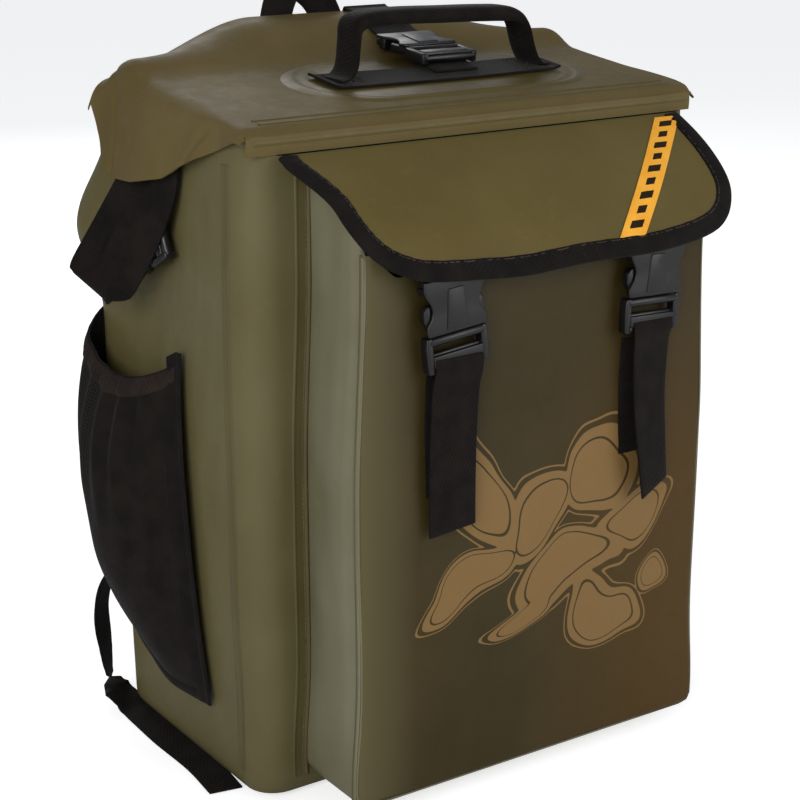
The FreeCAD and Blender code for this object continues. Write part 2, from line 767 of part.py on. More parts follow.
def handle_strap():
    """Carry handle: webbing arched over the plate; both feet are rounded, so that it folds."""
    half = dim.handle_span / 2
    foot = FOOT_Z
    top = foot + dim.handle_rise
    points = [(-half + 4, foot), (-half + 14, top - 8), (-half + 24, top), (half - 24, top),
              (half - 14, top - 8), (half - 4, foot)]
    turn = FreeCAD.Rotation(VECTOR(0, 0, 1), -90)
    body = strap("handle_strap", points, dim.web_narrow, dim.web_thick * 1.4,
                 (dim.handle_x, -dim.handle_y, 0), turn)
    low = foot.number + 2
    round_edges(body, "feet", dim.web_narrow / 2 - dim.gap / 5,
                lambda first, second: max(first.z, second.z) < low
                and (first - second).Length < dim.web_narrow.number / 2)
    return body


def handle_grip():
    """Thick sewn grip along the top of the handle."""
    half = dim.handle_span / 2 - 26
    top = FOOT_Z + dim.handle_rise + dim.web_thick * 0.7
    outline = rectangle(-half, 0, half, dim.web_thick * 2.4)
    return plate("handle_grip", "XZ", outline, dim.web_narrow + 3,
                 (dim.handle_x, dim.web_narrow / 2 + 1.5 - dim.handle_y, top))


def top_clip_place():
    """Mouth of the top clip, clear of the handle's plate below it."""
    stack = dim.patch_thick + dim.web_thick + dim.gap * 2
    lift = stack + dim.clip_thick / 2 + 0.5
    return (dim.handle_x + 14, dim.top_clip_y, top_surface(dim.top_clip_y) + lift)


def top_clip_rotation():
    """Lays the clip flat on the sloping top, with its mouth towards the front."""
    lie_down = FreeCAD.Rotation(VECTOR(1, 0, 0), -90)
    return top_rotation().multiply(lie_down)


def top_strap():
    """Webbing from the top clip's female half, up over the roll to the back edge."""
    x, y, z = top_clip_place()
    end = y + dim.socket_length + dim.gap * 2
    high = dim.top_roll + dim.web_thick / 2 + dim.gap
    points = [(end, z + dim.socket_length * SURFACE_SLOPE), (ROLL_FRONT + 4, high),
              (HALF_DEPTH - 8, high)]
    return strap("top_strap", points, dim.web_wide, dim.web_thick, (x, 0, 0))


def top_tab():
    """Short webbing from the handle plate to the male half of the top clip."""
    x, y, z = top_clip_place()
    front = y - dim.plug_length - dim.gap
    stack = dim.patch_thick + dim.web_thick * 1.5 + dim.gap * 3
    points = [(front - 20, top_surface(front - 20) + stack),
              (front - 8, top_surface(front - 8) + stack),
              (front, z - dim.plug_length * SURFACE_SLOPE)]
    return strap("top_tab", points, dim.web_wide, dim.web_thick, (x, 0, 0))


# ---------------------------------------------------------- wearer's side

def haul_loop():
    """Grab loop whose two legs are sewn to the back wall; it leans away at the top."""
    body = new_body("haul_loop")
    half = dim.haul_width / 2
    leg = dim.web_narrow * 0.7
    outline = rectangle(-half, 0, half, dim.haul_height)
    pad(body, "band", polyline(body, "outline", "XZ", outline), dim.web_thick * 1.6)
    finger_gap = rectangle(leg - half, -1, half - leg, dim.haul_height - leg)
    cut(body, "finger_gap", polyline(body, "gap_outline", "XZ", finger_gap))
    round_edges(body, "bends", 7, along("Y", lambda point: point.z > 5))
    lean = FreeCAD.Rotation(VECTOR(1, 0, 0), -15)
    low = dim.top_roll + 16 - dim.haul_height
    place(body, (-19, HALF_DEPTH + dim.web_thick * 1.6, low), lean)
    return body


def leaning_strap(label, points, width, thickness, upper, lower):
    """A strap that runs from one (x, z) to another; its points are (y, share of the way)."""
    (x1, z1), (x2, z2) = upper, lower
    length = math.hypot(x2.number - x1.number, z2.number - z1.number)
    lean = math.degrees(math.atan2(x1.number - x2.number, z1.number - z2.number))
    scale = length / (z1.number - z2.number)
    run = [(y, (z2 - z1) * (share * scale)) for y, share in points]
    return strap(label, run, width, thickness, (x1, 0, z1), FreeCAD.Rotation(VECTOR(0, 1, 0), lean))


def shoulder_strap(label, hand):
    """Padded strap that leaves the back near its top and curves down and out."""
    near = SHOULDER_Y
    far = near + dim.shoulder_reach
    points = [(near, 0), (near + 14, -0.035), (near + 34, 0.03), (far, 0.35), (far - 6, 0.7),
              (near + 18, 1)]
    upper = (hand * dim.shoulder_spread, dim.shoulder_high)
    lower = (hand * SHOULDER_LOW_X, dim.shoulder_low)
    return leaning_strap(label, points, dim.shoulder_width, dim.shoulder_thick, upper, lower)


def shoulder_yoke():
    """Reinforced tab across the back that both shoulder straps are sewn to."""
    half = dim.shoulder_spread + dim.shoulder_width / 2
    outline = rectangle(-half, dim.back_pad_high + 3, half, dim.shoulder_high + 12)
    return plate("shoulder_yoke", "XZ", outline, dim.back_pad_thick * 0.5,
                 (0, HALF_DEPTH + dim.back_pad_thick * 0.5, 0))


def lower_strap(label, hand):
    """Narrow webbing from the shoulder strap's end down to the bottom corner."""
    top = dim.shoulder_low - 34
    points = [(SHOULDER_Y + 18, 0), (SHOULDER_Y + 16, 0.1), (SHOULDER_Y + 4, 0.7),
              (HALF_DEPTH + 3, 1)]
    upper = (hand * SHOULDER_LOW_X, top)
    lower = (hand * dim.anchor_spread, dim.anchor_low)
    return leaning_strap(label, points, dim.web_narrow, dim.web_thick, upper, lower)


def strap_adjuster(label, hand):
    """Ladder lock at the lower end of a shoulder strap."""
    body = new_body(label)
    half = dim.web_narrow / 2 + 5
    frame = polyline(body, "outline", "XZ", rectangle(-half, -22, half, 0))
    pad(body, "frame", frame, 4, middle=True)
    slot_half = dim.web_narrow / 2 + 1
    for name, low in (("upper_slot", -8), ("lower_slot", -17)):
        slot = rectangle(-slot_half, low, slot_half, low + 4)
        cut(body, name, polyline(body, name + "_outline", "XZ", slot))
    place(body, (hand * SHOULDER_LOW_X, SHOULDER_Y + 18, dim.shoulder_low - 4))
    return body


def floor_tail(label, hand):
    """Loose narrow webbing that drops from the rear corner and lies beside the base."""
    x = hand * (HALF_WIDTH + dim.web_narrow / 2 + 4)
    flat = dim.web_thick / 2
    points = [(HALF_DEPTH + 14, 106), (HALF_DEPTH + 10, 60), (HALF_DEPTH - 8, 14),
              (HALF_DEPTH - 40, flat), (-74, flat)]
    return strap(label, points, dim.web_narrow, dim.web_thick, (x, 0, 0))


# ---------------------------------------------------------------- assembly

def build_main_body():
    end_wall("front_panel", -1, dim.front_height)
    back_wall()
    side_wall("side_panel_left", -1)
    side_wall("side_panel_right", 1)
    base_wall()
    back_pad()
    pocket_face()
    pocket_gusset()
    haul_loop()
    shoulder_yoke()


def build_roll_top():
    roll_cover()
    roll_bundle()
    mouth_stiffener()
    handle_patch()
    handle_plate()
    handle_strap()
    handle_grip()
    clip_socket("top_socket", top_clip_place(), top_clip_rotation())
    clip_plug("top_clip", top_clip_place(), top_clip_rotation(), arms=True)
    top_strap()
    top_tab()


def build_flap():
    flap_panel()
    flap_binding()
    flap_label()


def build_side(name, hand):
    """Everything that is the same on both sides of the pack."""
    front_anchor("front_anchor_" + name, hand)
    mesh_pocket("mesh_pocket_" + name, hand)
    pocket_elastic("pocket_elastic_" + name, hand)
    roll_ear("roll_ear_" + name, hand)
    ear_strap("ear_strap_" + name, hand)
    clip_socket("side_socket_" + name, side_clip_place(hand), side_clip_rotation(hand))
    clip_plug("side_clip_" + name, side_clip_place(hand), side_clip_rotation(hand), arms=True)
    side_anchor("side_anchor_" + name, hand)
    flap_tab("flap_tab_" + name, hand)
    front_place = (hand * dim.clip_spread, CLIP_Y, CLIP_MOUTH_Z)
    clip_socket("front_socket_" + name, front_place, open_back=True)
    clip_plug("front_clip_" + name, front_place)
    front_tail("front_tail_" + name, hand)
    for arm_name, arm_hand in (("inner", -hand), ("outer", hand)):
        clip_arm("clip_arm_%s_%s" % (arm_name, name), front_place, arm_hand)
    shoulder_strap("shoulder_strap_" + name, hand)
    strap_adjuster("strap_adjuster_" + name, hand)
    lower_strap("lower_strap_" + name, hand)
    floor_tail("floor_tail_" + name, hand)


def check_and_write():
    """Stops at the first object that failed, then writes one file per sub-part."""
    for item in document.Objects:
        if "Invalid" in item.State or "Error" in item.State:
            raise RuntimeError("%s did not compute: %s" % (item.Name, item.State))
    for item in sub_parts:
        shape = item.Shape
        if shape.isNull() or not shape.isValid() or not shape.Solids:
            raise RuntimeError("%s has no valid solid" % item.Label)
    os.makedirs("parts", exist_ok=True)
    for item in sub_parts:
        item.Shape.exportStep(os.path.join("parts", item.Label + ".step"))
    print("wrote %d sub-parts" % len(sub_parts))


build_main_body()
build_roll_top()
build_flap()
build_side("left", -1)
build_side("right", 1)
document.recompute()
check_and_write()
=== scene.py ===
import json
import math

import bpy
from mathutils import Matrix, Vector, noise


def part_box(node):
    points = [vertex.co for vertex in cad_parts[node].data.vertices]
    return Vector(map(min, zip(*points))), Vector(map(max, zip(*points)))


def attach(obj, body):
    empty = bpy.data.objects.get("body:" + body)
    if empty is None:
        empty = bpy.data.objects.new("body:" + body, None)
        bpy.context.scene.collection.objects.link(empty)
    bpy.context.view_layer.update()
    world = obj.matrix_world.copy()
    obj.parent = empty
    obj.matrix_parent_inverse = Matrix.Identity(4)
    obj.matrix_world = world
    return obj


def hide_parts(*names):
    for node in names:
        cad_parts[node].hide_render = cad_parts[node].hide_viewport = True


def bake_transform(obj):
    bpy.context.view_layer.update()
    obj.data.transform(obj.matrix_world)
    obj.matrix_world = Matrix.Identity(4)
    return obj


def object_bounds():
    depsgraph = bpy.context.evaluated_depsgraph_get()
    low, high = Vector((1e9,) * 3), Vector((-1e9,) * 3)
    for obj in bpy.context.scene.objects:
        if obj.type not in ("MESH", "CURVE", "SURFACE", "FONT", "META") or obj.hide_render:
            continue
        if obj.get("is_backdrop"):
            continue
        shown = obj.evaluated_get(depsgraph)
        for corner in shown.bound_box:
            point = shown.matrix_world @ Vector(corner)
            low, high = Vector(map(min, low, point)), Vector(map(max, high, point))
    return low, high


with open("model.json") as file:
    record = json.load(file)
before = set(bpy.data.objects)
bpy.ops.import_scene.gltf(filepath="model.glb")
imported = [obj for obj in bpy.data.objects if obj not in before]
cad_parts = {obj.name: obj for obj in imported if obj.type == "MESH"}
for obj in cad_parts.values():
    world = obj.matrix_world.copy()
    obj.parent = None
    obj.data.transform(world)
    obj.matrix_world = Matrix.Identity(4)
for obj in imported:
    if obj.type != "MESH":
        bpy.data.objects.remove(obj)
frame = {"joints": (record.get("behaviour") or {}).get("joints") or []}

CAD_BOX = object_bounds()
MM = 0.001
SIDES = (("left", -1), ("right", 1))


def middle(node):
    low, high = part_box(node)
    return (low + high) / 2


# Places taken from the frame, in metres.
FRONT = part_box("front_panel")[0].y
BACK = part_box("back_panel")[1].y
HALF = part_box("front_panel")[1].x
HINGE_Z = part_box("front_panel")[1].z
TOP_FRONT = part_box("roll_cover")[0].z + 17 * MM
TOP_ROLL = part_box("roll_cover")[1].z
JOINTS = {joint["name"]: joint for joint in frame["joints"]}
FLAP_HINGE = Vector(JOINTS["flap_hinge"]["pos_m"])
POCKET_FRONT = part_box("pocket_face")[0].y
POCKET_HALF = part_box("pocket_face")[1].x
POCKET_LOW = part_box("pocket_face")[0].z
POCKET_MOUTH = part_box("pocket_face")[1].z
POCKET_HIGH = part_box("pocket_gusset")[1].z
PLATE = middle("handle_plate")
MESH_LOW, MESH_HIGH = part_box("mesh_pocket_left")

# Widths of the webbing in millimetres, and the rise of the top over its run.
WIDE = 38
NARROW = 25
TOP_SLOPE = 0.118


# ------------------------------------------------------------------ tools

def deselect():
    if bpy.context.object and bpy.context.object.mode != "OBJECT":
        bpy.ops.object.mode_set(mode="OBJECT")
    bpy.ops.object.select_all(action="DESELECT")


def activate(piece):
    deselect()
    piece.select_set(True)
    bpy.context.view_layer.objects.active = piece
    return piece


def modify(piece, kind, **settings):
    """Adds a modifier and applies it."""
    activate(piece)
    modifier = piece.modifiers.new(kind.lower(), kind)
    for name, value in settings.items():
        setattr(modifier, name, value)
    bpy.ops.object.modifier_apply(modifier=modifier.name)
    return piece


def edit(piece, *steps):
    """Runs edit-mode operators on the whole mesh: each step is an operator and its settings."""
    activate(piece)
    bpy.ops.object.mode_set(mode="EDIT")
    bpy.ops.mesh.select_all(action="SELECT")
    for operator, settings in steps:
        operator(**settings)
    bpy.ops.object.mode_set(mode="OBJECT")
    return piece


def outward(piece):
    return edit(piece, (bpy.ops.mesh.normals_make_consistent, {"inside": False}))


def smooth(piece, angle=40):
    activate(piece)
    bpy.ops.object.shade_smooth_by_angle(angle=math.radians(angle))
    return piece


def thicken(piece, thick, offset=0, angle=60):
    """Turns a sheet's faces outward and gives it its thickness in millimetres."""
    outward(piece)
    modify(piece, "SOLIDIFY", thickness=thick * MM, offset=offset)
    return smooth(piece, angle)


def strip(piece, thick, angle=60):
    """Gives a sheet of webbing its thickness in millimetres, half to each side."""
    modify(piece, "SOLIDIFY", thickness=thick * MM, offset=0)
    return smooth(outward(piece), angle)


def sheet(name, across, along, rule, size=(1, 1), wrap=False):
    """A grid laid out by a rule that turns (u, v), each 0 to 1, into a point in metres.

    The UV map is in millimetres, so that a weave keeps its real scale.
    """
    deselect()
    bpy.ops.mesh.primitive_grid_add(x_subdivisions=across, y_subdivisions=along, size=1)
    piece = bpy.context.object
    piece.name = name
    mesh = piece.data
    for loop in mesh.uv_layers.active.data:
        loop.uv = (loop.uv.x * size[0], loop.uv.y * size[1])
    for vertex in mesh.vertices:
        vertex.co = rule(vertex.co.x + 0.5, vertex.co.y + 0.5)
    if wrap:
        edit(piece, (bpy.ops.mesh.remove_doubles, {"threshold": 0.00002}))
    return piece


def curve_points(points, steps):
    """A smooth run of points through the given ones (Catmull-Rom)."""
    points = [Vector(point) for point in points]
    ends = [points[0] * 2 - points[1]] + points + [points[-1] * 2 - points[-2]]
    run = []
    for index in range(1, len(ends) - 2):
        a, b, c, d = ends[index - 1:index + 3]
        for step in range(steps):
            t = step / steps
            run.append(0.5 * (2 * b + (c - a) * t + (2 * a - 5 * b + 4 * c - d) * t * t
                              + (3 * b - a - 3 * c + d) * t ** 3))
    return run + [points[-1]]


def tangent_at(path, index):
    """The way a run of points goes at one of them."""
    return (path[min(index + 1, len(path) - 1)] - path[max(index - 1, 0)]).normalized()


def signed_power(value, power):
    """A power that keeps the sign: it squares off the outline of an ellipse."""
    return math.copysign(abs(value) ** power, value)


def ribbon(name, points, width, thick, face, steps=8, cut_end=0):
    """Flat webbing along a smooth path; face is the way its outer side looks.

    face is one vector, or two for webbing that twists from the first to the second.
    """
    path = curve_points([Vector(point) * MM for point in points], steps)
    faces = [Vector(item).normalized() for item in (face if len(face) == 2 else (face, face))]
    count = len(path) - 1
    lengths = [0]
    for first, second in zip(path, path[1:]):
        lengths.append(lengths[-1] + (second - first).length)

    def rule(u, v):
        place = v * count
        index = min(int(place), count - 1)
        point = path[index].lerp(path[index + 1], place - index)
        tangent = tangent_at(path, index)
        side = faces[0].lerp(faces[1], v).cross(tangent).normalized()
        slant = tangent * (cut_end * MM * (u - 0.5) if v > 0.999 else 0)
        return point + side * (u - 0.5) * width * MM + slant

    piece = sheet(name, 6, count, rule, (width, lengths[-1] / MM))
    modify(piece, "SOLIDIFY", thickness=thick * MM, offset=0)
    outward(piece)
    modify(piece, "BEVEL", width=thick * 0.3 * MM, segments=2, limit_method="ANGLE",
           angle_limit=math.radians(50))
    return smooth(piece)


def stitches(name, place, length, body, slot, material, lift, pitch=3.4):
    """A row of sewn thread: it rises and dips through the cloth at each stitch.

    place turns 0 to 1 into a point on the cloth, and lift is the way the cloth faces there.
    """
    count = int(length / pitch) * 4
    up = Vector(lift).normalized()

    def rule(u, v):
        here = place(v)
        tangent = (place(min(v + 0.002, 1)) - place(max(v - 0.002, 0))).normalized()
        side = up.cross(tangent).normalized()
        angle = u * 2 * math.pi
        rise = 0.55 * math.cos(v * count / 4 * 2 * math.pi) - 0.1
        return here + (side * 0.5 * math.cos(angle) + up * (0.42 * math.sin(angle) + rise)) * MM

    piece = sheet(name, 6, count, rule, (2, length), wrap=True)
    return finish(smooth(outward(piece), 60), material, body, slot)


def along_corners(corners, share):
    """A point on the straight runs between corners, share 0 to 1 of their whole length."""
    lengths = [(b - a).length for a, b in zip(corners, corners[1:])]
    way = share * sum(lengths)
    for index, length in enumerate(lengths):
        if way <= length or index == len(lengths) - 1:
            return corners[index].lerp(corners[index + 1], min(way / length, 1))
        way -= length


def finish(piece, material, body, slot, *nodes):
    """Gives a piece its material and body, and hides the CAD nodes it stands for; slot is not
    used.
    """
    piece.data.materials.clear()
    piece.data.materials.append(material)
    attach(piece, body)
    if nodes:
        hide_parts(*nodes)
    return piece


def ripple(point, size, seed=0.0):
    """Smooth unevenness between -1 and 1; size is its wavelength in millimetres."""
    return noise.noise(point / (size * MM) + Vector((seed, seed * 1.7, -seed)))


def ease(value, low, high):
    """0 below low, 1 above high, smooth between."""
    t = min(max((value - low) / (high - low), 0), 1)
    return t * t * (3 - 2 * t)


def hump(value, centre, width):
    return math.exp(-((value - centre) / width) ** 2)


# -------------------------------------------------------------- materials

def linear(code):
    """An sRGB hex colour as linear values."""
    parts = [int(code[index:index + 2], 16) / 255 for index in (1, 3, 5)]
    return [c / 12.92 if c <= 0.04045 else ((c + 0.055) / 1.055) ** 2.4 for c in parts] + [1]


def node(tree, kind, settings=None, **links):
    """Adds a node with its settings; links are its inputs, as values or as other sockets."""
    item = tree.nodes.new("ShaderNode" + kind)
    for name, value in (settings or {}).items():
        setattr(item, name, value)
    for name, value in links.items():
        key = int(name[1:]) if name[0] == "i" and name[1:].isdigit() else name.replace("_", " ")
        if isinstance(value, bpy.types.NodeSocket):
            tree.links.new(value, item.inputs[key])
        else:
            item.inputs[key].default_value = value
    return item


def new_material(name):
    material = bpy.data.materials.new(name)
    material.use_nodes = True
    tree = material.node_tree
    return material, tree, tree.nodes["Principled BSDF"]


def mix(tree, factor, first, second):
    item = node(tree, "Mix", {"data_type": "RGBA"}, i0=factor, i6=first, i7=second)
    return item.outputs[2]


def ramp(tree, factor, low, high, first=0.0, last=1.0):
    """Stretches low to high over first to last, and holds what lies beyond."""
    item = node(tree, "MapRange", {"clamp": True}, i0=factor, i1=low, i2=high, i3=first, i4=last)
    return item.outputs[0]


def maths(tree, operation, *values, clamp=False):
    links = {"i%d" % index: value for index, value in enumerate(values)}
    return node(tree, "Math", {"operation": operation, "use_clamp": clamp}, **links).outputs[0]


def surface(shader, **values):
    """Sets plain inputs of a shader; an underscore stands for a space."""
    for name, value in values.items():
        shader.inputs[name.replace("_", " ")].default_value = value


def bump(tree, shader, height, distance, strength=1.0, normal=None):
    item = node(tree, "Bump", None, Strength=strength, Distance=distance, Height=height)
    if normal is not None:
        tree.links.new(normal, item.inputs["Normal"])
    tree.links.new(item.outputs[0], shader.inputs["Normal"])
    return item.outputs[0]


def tarpaulin(name, base, light, rough=0.5, grain=0.5):
    """PVC-coated polyester: a calendered skin, semi-matt, with a fine grain and soft creases."""
    material, tree, shader = new_material(name)
    place = node(tree, "TexCoord").outputs["Object"]
    broad = node(tree, "TexNoise", None, Vector=place, Scale=9, Detail=3, Roughness=0.55)
    fine = node(tree, "TexNoise", None, Vector=place, Scale=90, Detail=4, Roughness=0.6)
    # The grain of the rolled PVC skin is drawn at 1 mm.
    grit = node(tree, "TexVoronoi", None, Vector=place, Scale=1 / MM)
    tint = mix(tree, ramp(tree, broad.outputs[0], 0.35, 0.68), linear(base), linear(light))
    dust = mix(tree, ramp(tree, fine.outputs[0], 0.58, 0.8), tint, linear(light))
    tree.links.new(dust, shader.inputs["Base Color"])
    gloss = ramp(tree, fine.outputs[0], 0.3, 0.7, rough - 0.06, rough + 0.08)
    tree.links.new(gloss, shader.inputs["Roughness"])
    surface(shader, Specular_IOR_Level=0.24)
    crease = bump(tree, shader, broad.outputs[0], 4 * MM, 0.25)
    bump(tree, shader, grit.outputs[0], 0.12 * MM, grain, crease)
    return material, tree, shader, dust


def woven(name, dark, light, thread, rough=0.8, sheen=0.04, upright=False):
    """Woven polyester: threads that cross over and under, with a dull sheen along the edges.

    thread is the pitch in millimetres; upright cloth takes it from the object's x and z.
    """
    material, tree, shader = new_material(name)
    if upright:
        turned = node(tree, "Mapping", None, Vector=node(tree, "TexCoord").outputs["Object"],
                      Rotation=(math.radians(-90), 0, 0), Scale=(1 / MM, 1 / MM, 1 / MM))
        place = turned.outputs[0]
    else:
        place = node(tree, "TexCoord").outputs["UV"]
    scaled = node(tree, "Mapping", None, Vector=place,
                  Scale=(1 / thread, 1 / thread, 1)).outputs[0]
    split = node(tree, "SeparateXYZ", None, Vector=scaled)
    warp = maths(tree, "SINE", maths(tree, "MULTIPLY", split.outputs[0], math.pi))
    weft = maths(tree, "SINE", maths(tree, "MULTIPLY", split.outputs[1], math.pi * 0.8))
    height = ramp(tree, maths(tree, "MULTIPLY", warp, weft), -1, 1)
    fluff = node(tree, "TexNoise", None, Vector=node(tree, "TexCoord").outputs["Object"],
                 Scale=60, Detail=4)
    # Painted shade: the colour follows the weave's height, darker in the troughs between threads,
    # with a random fluff added.
    tone = maths(tree, "MULTIPLY_ADD", height, 0.5, ramp(tree, fluff.outputs[0], 0.3, 0.9))
    tree.links.new(mix(tree, tone, linear(dark), linear(light)), shader.inputs["Base Color"])
    surface(shader, Roughness=rough, Sheen_Weight=sheen, Sheen_Roughness=0.4,
            Specular_IOR_Level=0.1)
    bump(tree, shader, height, thread * 0.3 * MM, 0.8)
    return material


def moulded(name, dark, light, rough=0.36):
    """Injection-moulded acetal: a faint spark-eroded grain, smooth shine, and a tone that drifts
    paler in soft clouds.
    """
    material, tree, shader = new_material(name)
    place = node(tree, "TexCoord").outputs["Object"]
    grain = node(tree, "TexNoise", None, Vector=place, Scale=1 / (0.8 * MM), Detail=2)
    cloud = node(tree, "TexNoise", None, Vector=place, Scale=70, Detail=3)
    tone = mix(tree, ramp(tree, cloud.outputs[0], 0.35, 0.7), linear(dark), linear(light))
    tree.links.new(tone, shader.inputs["Base Color"])
    gloss = ramp(tree, cloud.outputs[0], 0.3, 0.7, rough - 0.05, rough + 0.1)
    tree.links.new(gloss, shader.inputs["Roughness"])
    bump(tree, shader, grain.outputs[0], 0.06 * MM, 0.5)
    return material


def open_mesh():
    """Knitted polyester mesh: round holes in offset rows over dark shadow."""
    pitch = 3
    material, tree, shader = new_material("knitted_mesh")
    place = node(tree, "TexCoord").outputs["UV"]
    scaled = node(tree, "Mapping", None, Vector=place, Scale=(1 / pitch, 1 / pitch, 1)).outputs[0]
    cells = node(tree, "TexVoronoi", None, Vector=scaled, Scale=1, Randomness=0.12)
    thread = ramp(tree, cells.outputs[0], 0.30, 0.42)
    tree.links.new(mix(tree, thread, linear("#050404"), linear("#1f1a17")),
                   shader.inputs["Base Color"])
    surface(shader, Roughness=0.8, Sheen_Weight=0.03, Specular_IOR_Level=0.15)
    bump(tree, shader, thread, 0.5 * MM, 0.9)
    return material


def printed_face():
    """Dark coated fabric with a screen-printed camouflage of loose tan patches."""
    material, tree, shader, ground = tarpaulin("printed_tarpaulin", "#342a0c", "#3d3214", 0.52)
    place = node(tree, "TexCoord").outputs["Object"]
    across = node(tree, "SeparateXYZ", None, Vector=place)
    # Painted light: the coating is painted paler towards the left edge, where the light from the
    # left falls, and it is warmer towards the right.
    painted_light_left = ramp(tree, across.outputs[0], -0.105, -0.150)
    warm = maths(tree, "MULTIPLY", ramp(tree, across.outputs[0], -0.02, 0.12),
                 ramp(tree, across.outputs[2], 0.36, 0.20))
    ground = mix(tree, painted_light_left, ground, linear("#575033"))
    ground = mix(tree, warm, ground, linear("#4a350d"))
    # The outlines wander by a noise that shifts them by half of its reach on average.
    reach = 50
    drift = node(tree, "TexNoise", None, Vector=place, Scale=16, Detail=1, Roughness=0.4)
    shift = node(tree, "VectorMath", {"operation": "SCALE"}, i0=drift.outputs[1],
                 Scale=reach * MM)
    moved = node(tree, "VectorMath", {"operation": "ADD"}, i0=place, i1=shift.outputs[0])
    # Each patch: centre x and z, half width, half height and slant, in millimetres and degrees.
    patches = ((-52, 232, 26, 44, 10), (-2, 205, 44, 26, 38), (52, 232, 30, 36, -8),
               (-64, 168, 46, 15, 28), (20, 158, 52, 22, 12), (84, 190, 36, 20, 24),
               (58, 120, 34, 22, -30), (104, 140, 20, 16, 20), (-20, 132, 34, 11, 24))
    nearest = None
    for x, z, wide, tall, slant in patches:
        spot = node(tree, "Mapping", {"vector_type": "TEXTURE"}, Vector=moved.outputs[0],
                    Location=((x + reach / 2) * MM, 0, (z + reach / 2) * MM),
                    Rotation=(0, -math.radians(slant), 0), Scale=(wide * MM, 1, tall * MM))
        far = node(tree, "VectorMath", {"operation": "LENGTH"}, i0=spot.outputs[0]).outputs[1]
        nearest = far if nearest is None else maths(tree, "SMOOTH_MIN", nearest, far, 0.12)
    # A patch is filled up to 1, with a dark line inside it and a pale one outside.
    line_half = 0.022
    inside = ramp(tree, nearest, 1.0, 0.985)
    line = maths(tree, "COMPARE", nearest, 0.78, line_half)
    shown = maths(tree, "SUBTRACT", inside, line, clamp=True)
    ring = maths(tree, "COMPARE", nearest, 1.12, line_half)
    both = maths(tree, "MAXIMUM", shown, ring)
    tree.links.new(mix(tree, both, ground, linear("#7d6138")), shader.inputs["Base Color"])
    return material


OLIVE = tarpaulin("tarpaulin_olive", "#595131", "#625b3c")[0]
OLIVE_TOP = tarpaulin("tarpaulin_top", "#5a4c27", "#655734", 0.62)[0]
OLIVE_POCKET = tarpaulin("tarpaulin_pocket", "#66624a", "#737059")[0]
FLAP_CLOTH = tarpaulin("tarpaulin_flap", "#5a4d24", "#63562d", 0.58)[0]
WELD = tarpaulin("welded_seam", "#4f4728", "#5a5233", 0.42, 0.2)[0]
WELD_TOP = tarpaulin("welded_top", "#51461f", "#5c502c", 0.42, 0.2)[0]
PRINTED = printed_face()
WEBBING = woven("webbing_polyester", "#0b0908", "#1d1815", 1.5)
BINDING = woven("binding_tape", "#0b0909", "#1c1815", 1.0)
PACK_CLOTH = woven("woven_nylon", "#0d0b0a", "#1f1a17", 0.9)
PAD_CLOTH = woven("spacer_knit", "#090807", "#25211e", 2.4, upright=True)
TRIM_CLOTH = woven("strap_nylon", "#0d0b0a", "#1e1a17", 1.2, upright=True)
ELASTIC = woven("elastic_tape", "#171210", "#2e2621", 1.8)
MESH = open_mesh()
ACETAL = moulded("acetal_black", "#080808", "#111010")
THREAD_OLIVE = woven("thread_olive", "#3a3522", "#6d6750", 0.4)
THREAD_BLACK = woven("thread_black", "#221d1a", "#4a433c", 0.4)
RIBBON = woven("ribbon_amber", "#ee9f26", "#ffba45", 0.8)
RIBBON_DARK = woven("ribbon_print", "#1c150b", "#2c2213", 0.8)


# -------------------------------------------------------------- main body

# The body's outline: a rounded rectangle, walked clockwise from the middle of the back.
CORNER = 24 * MM
FLAT_X = HALF - CORNER
FLAT_Y = BACK - CORNER
ARC = math.pi / 2 * CORNER
OUTLINE = 4 * (FLAT_X + FLAT_Y + ARC)
WALL_HIGH = 480 * MM
SEAM = -84


def side_bulge(y, z):
    """How far the full side of the pack stands out of its flat wall."""
    belly = 5 * MM * math.sin(math.pi * min(max(z / 0.47, 0), 1)) * (1 - (y / 0.125) ** 2)
    fold = 31 * MM * hump(y, 0.104, 0.040) * hump(z, 0.392, 0.044)
    fold += 12 * MM * hump(y, 0.104, 0.045) * hump(z, 0.28, 0.08)
    tuck = 5 * MM * hump(y, 0.02, 0.05) * hump(z, 0.36, 0.05)
    return max(belly, 0) + fold - tuck


def wall_top(x, y):
    """Upper edge of the walls, under the folded top."""
    if y < 0:
        corner = ease(abs(x), 0.168, 0.184) if x < 0 else ease(x, 0.181, 0.190) * 0.8
        return HINGE_Z + (WALL_HIGH - HINGE_Z) * max(ease(y, -0.09, -0.04), corner)
    behind = ease(y, 0.095, 0.107) * (1 - ease(abs(x), 0.055, 0.165))
    return WALL_HIGH + (TOP_ROLL - 6 * MM - WALL_HIGH) * behind


def plan_point(share, inset=0.0):
    """A point on the rounded outline of the body, and its outward direction."""
    radius = max(CORNER - inset, 2 * MM)
    way = (share % 1) * OUTLINE
    # Length of each leg and the signs of its outward direction; two signs make a corner.
    legs = ((FLAT_X, 0, 1), (ARC, 1, 1), (2 * FLAT_Y, 1, 0), (ARC, 1, -1), (2 * FLAT_X, 0, -1),
            (ARC, -1, -1), (2 * FLAT_Y, -1, 0), (ARC, -1, 1), (FLAT_X, 0, 1))
    for index, (length, sx, sy) in enumerate(legs):
        if way <= length or index == len(legs) - 1:
            break
        way -= length
    if sx and sy:
        turn = way / ARC * math.pi / 2
        first = math.sin(turn) if sx == sy else math.cos(turn)
        second = math.cos(turn) if sx == sy else math.sin(turn)
        normal = Vector((first * sx, second * sy, 0))
        return Vector((FLAT_X * sx, FLAT_Y * sy, 0)) + normal * radius, normal
    if sx:
        return Vector(((HALF - inset) * sx, (FLAT_Y - way) * sx, 0)), Vector((sx, 0, 0))
    if sy < 0:
        return Vector((FLAT_X - way, FRONT + inset, 0)), Vector((0, -1, 0))
    return Vector((way - (FLAT_X if index else 0), BACK - inset, 0)), Vector((0, 1, 0))


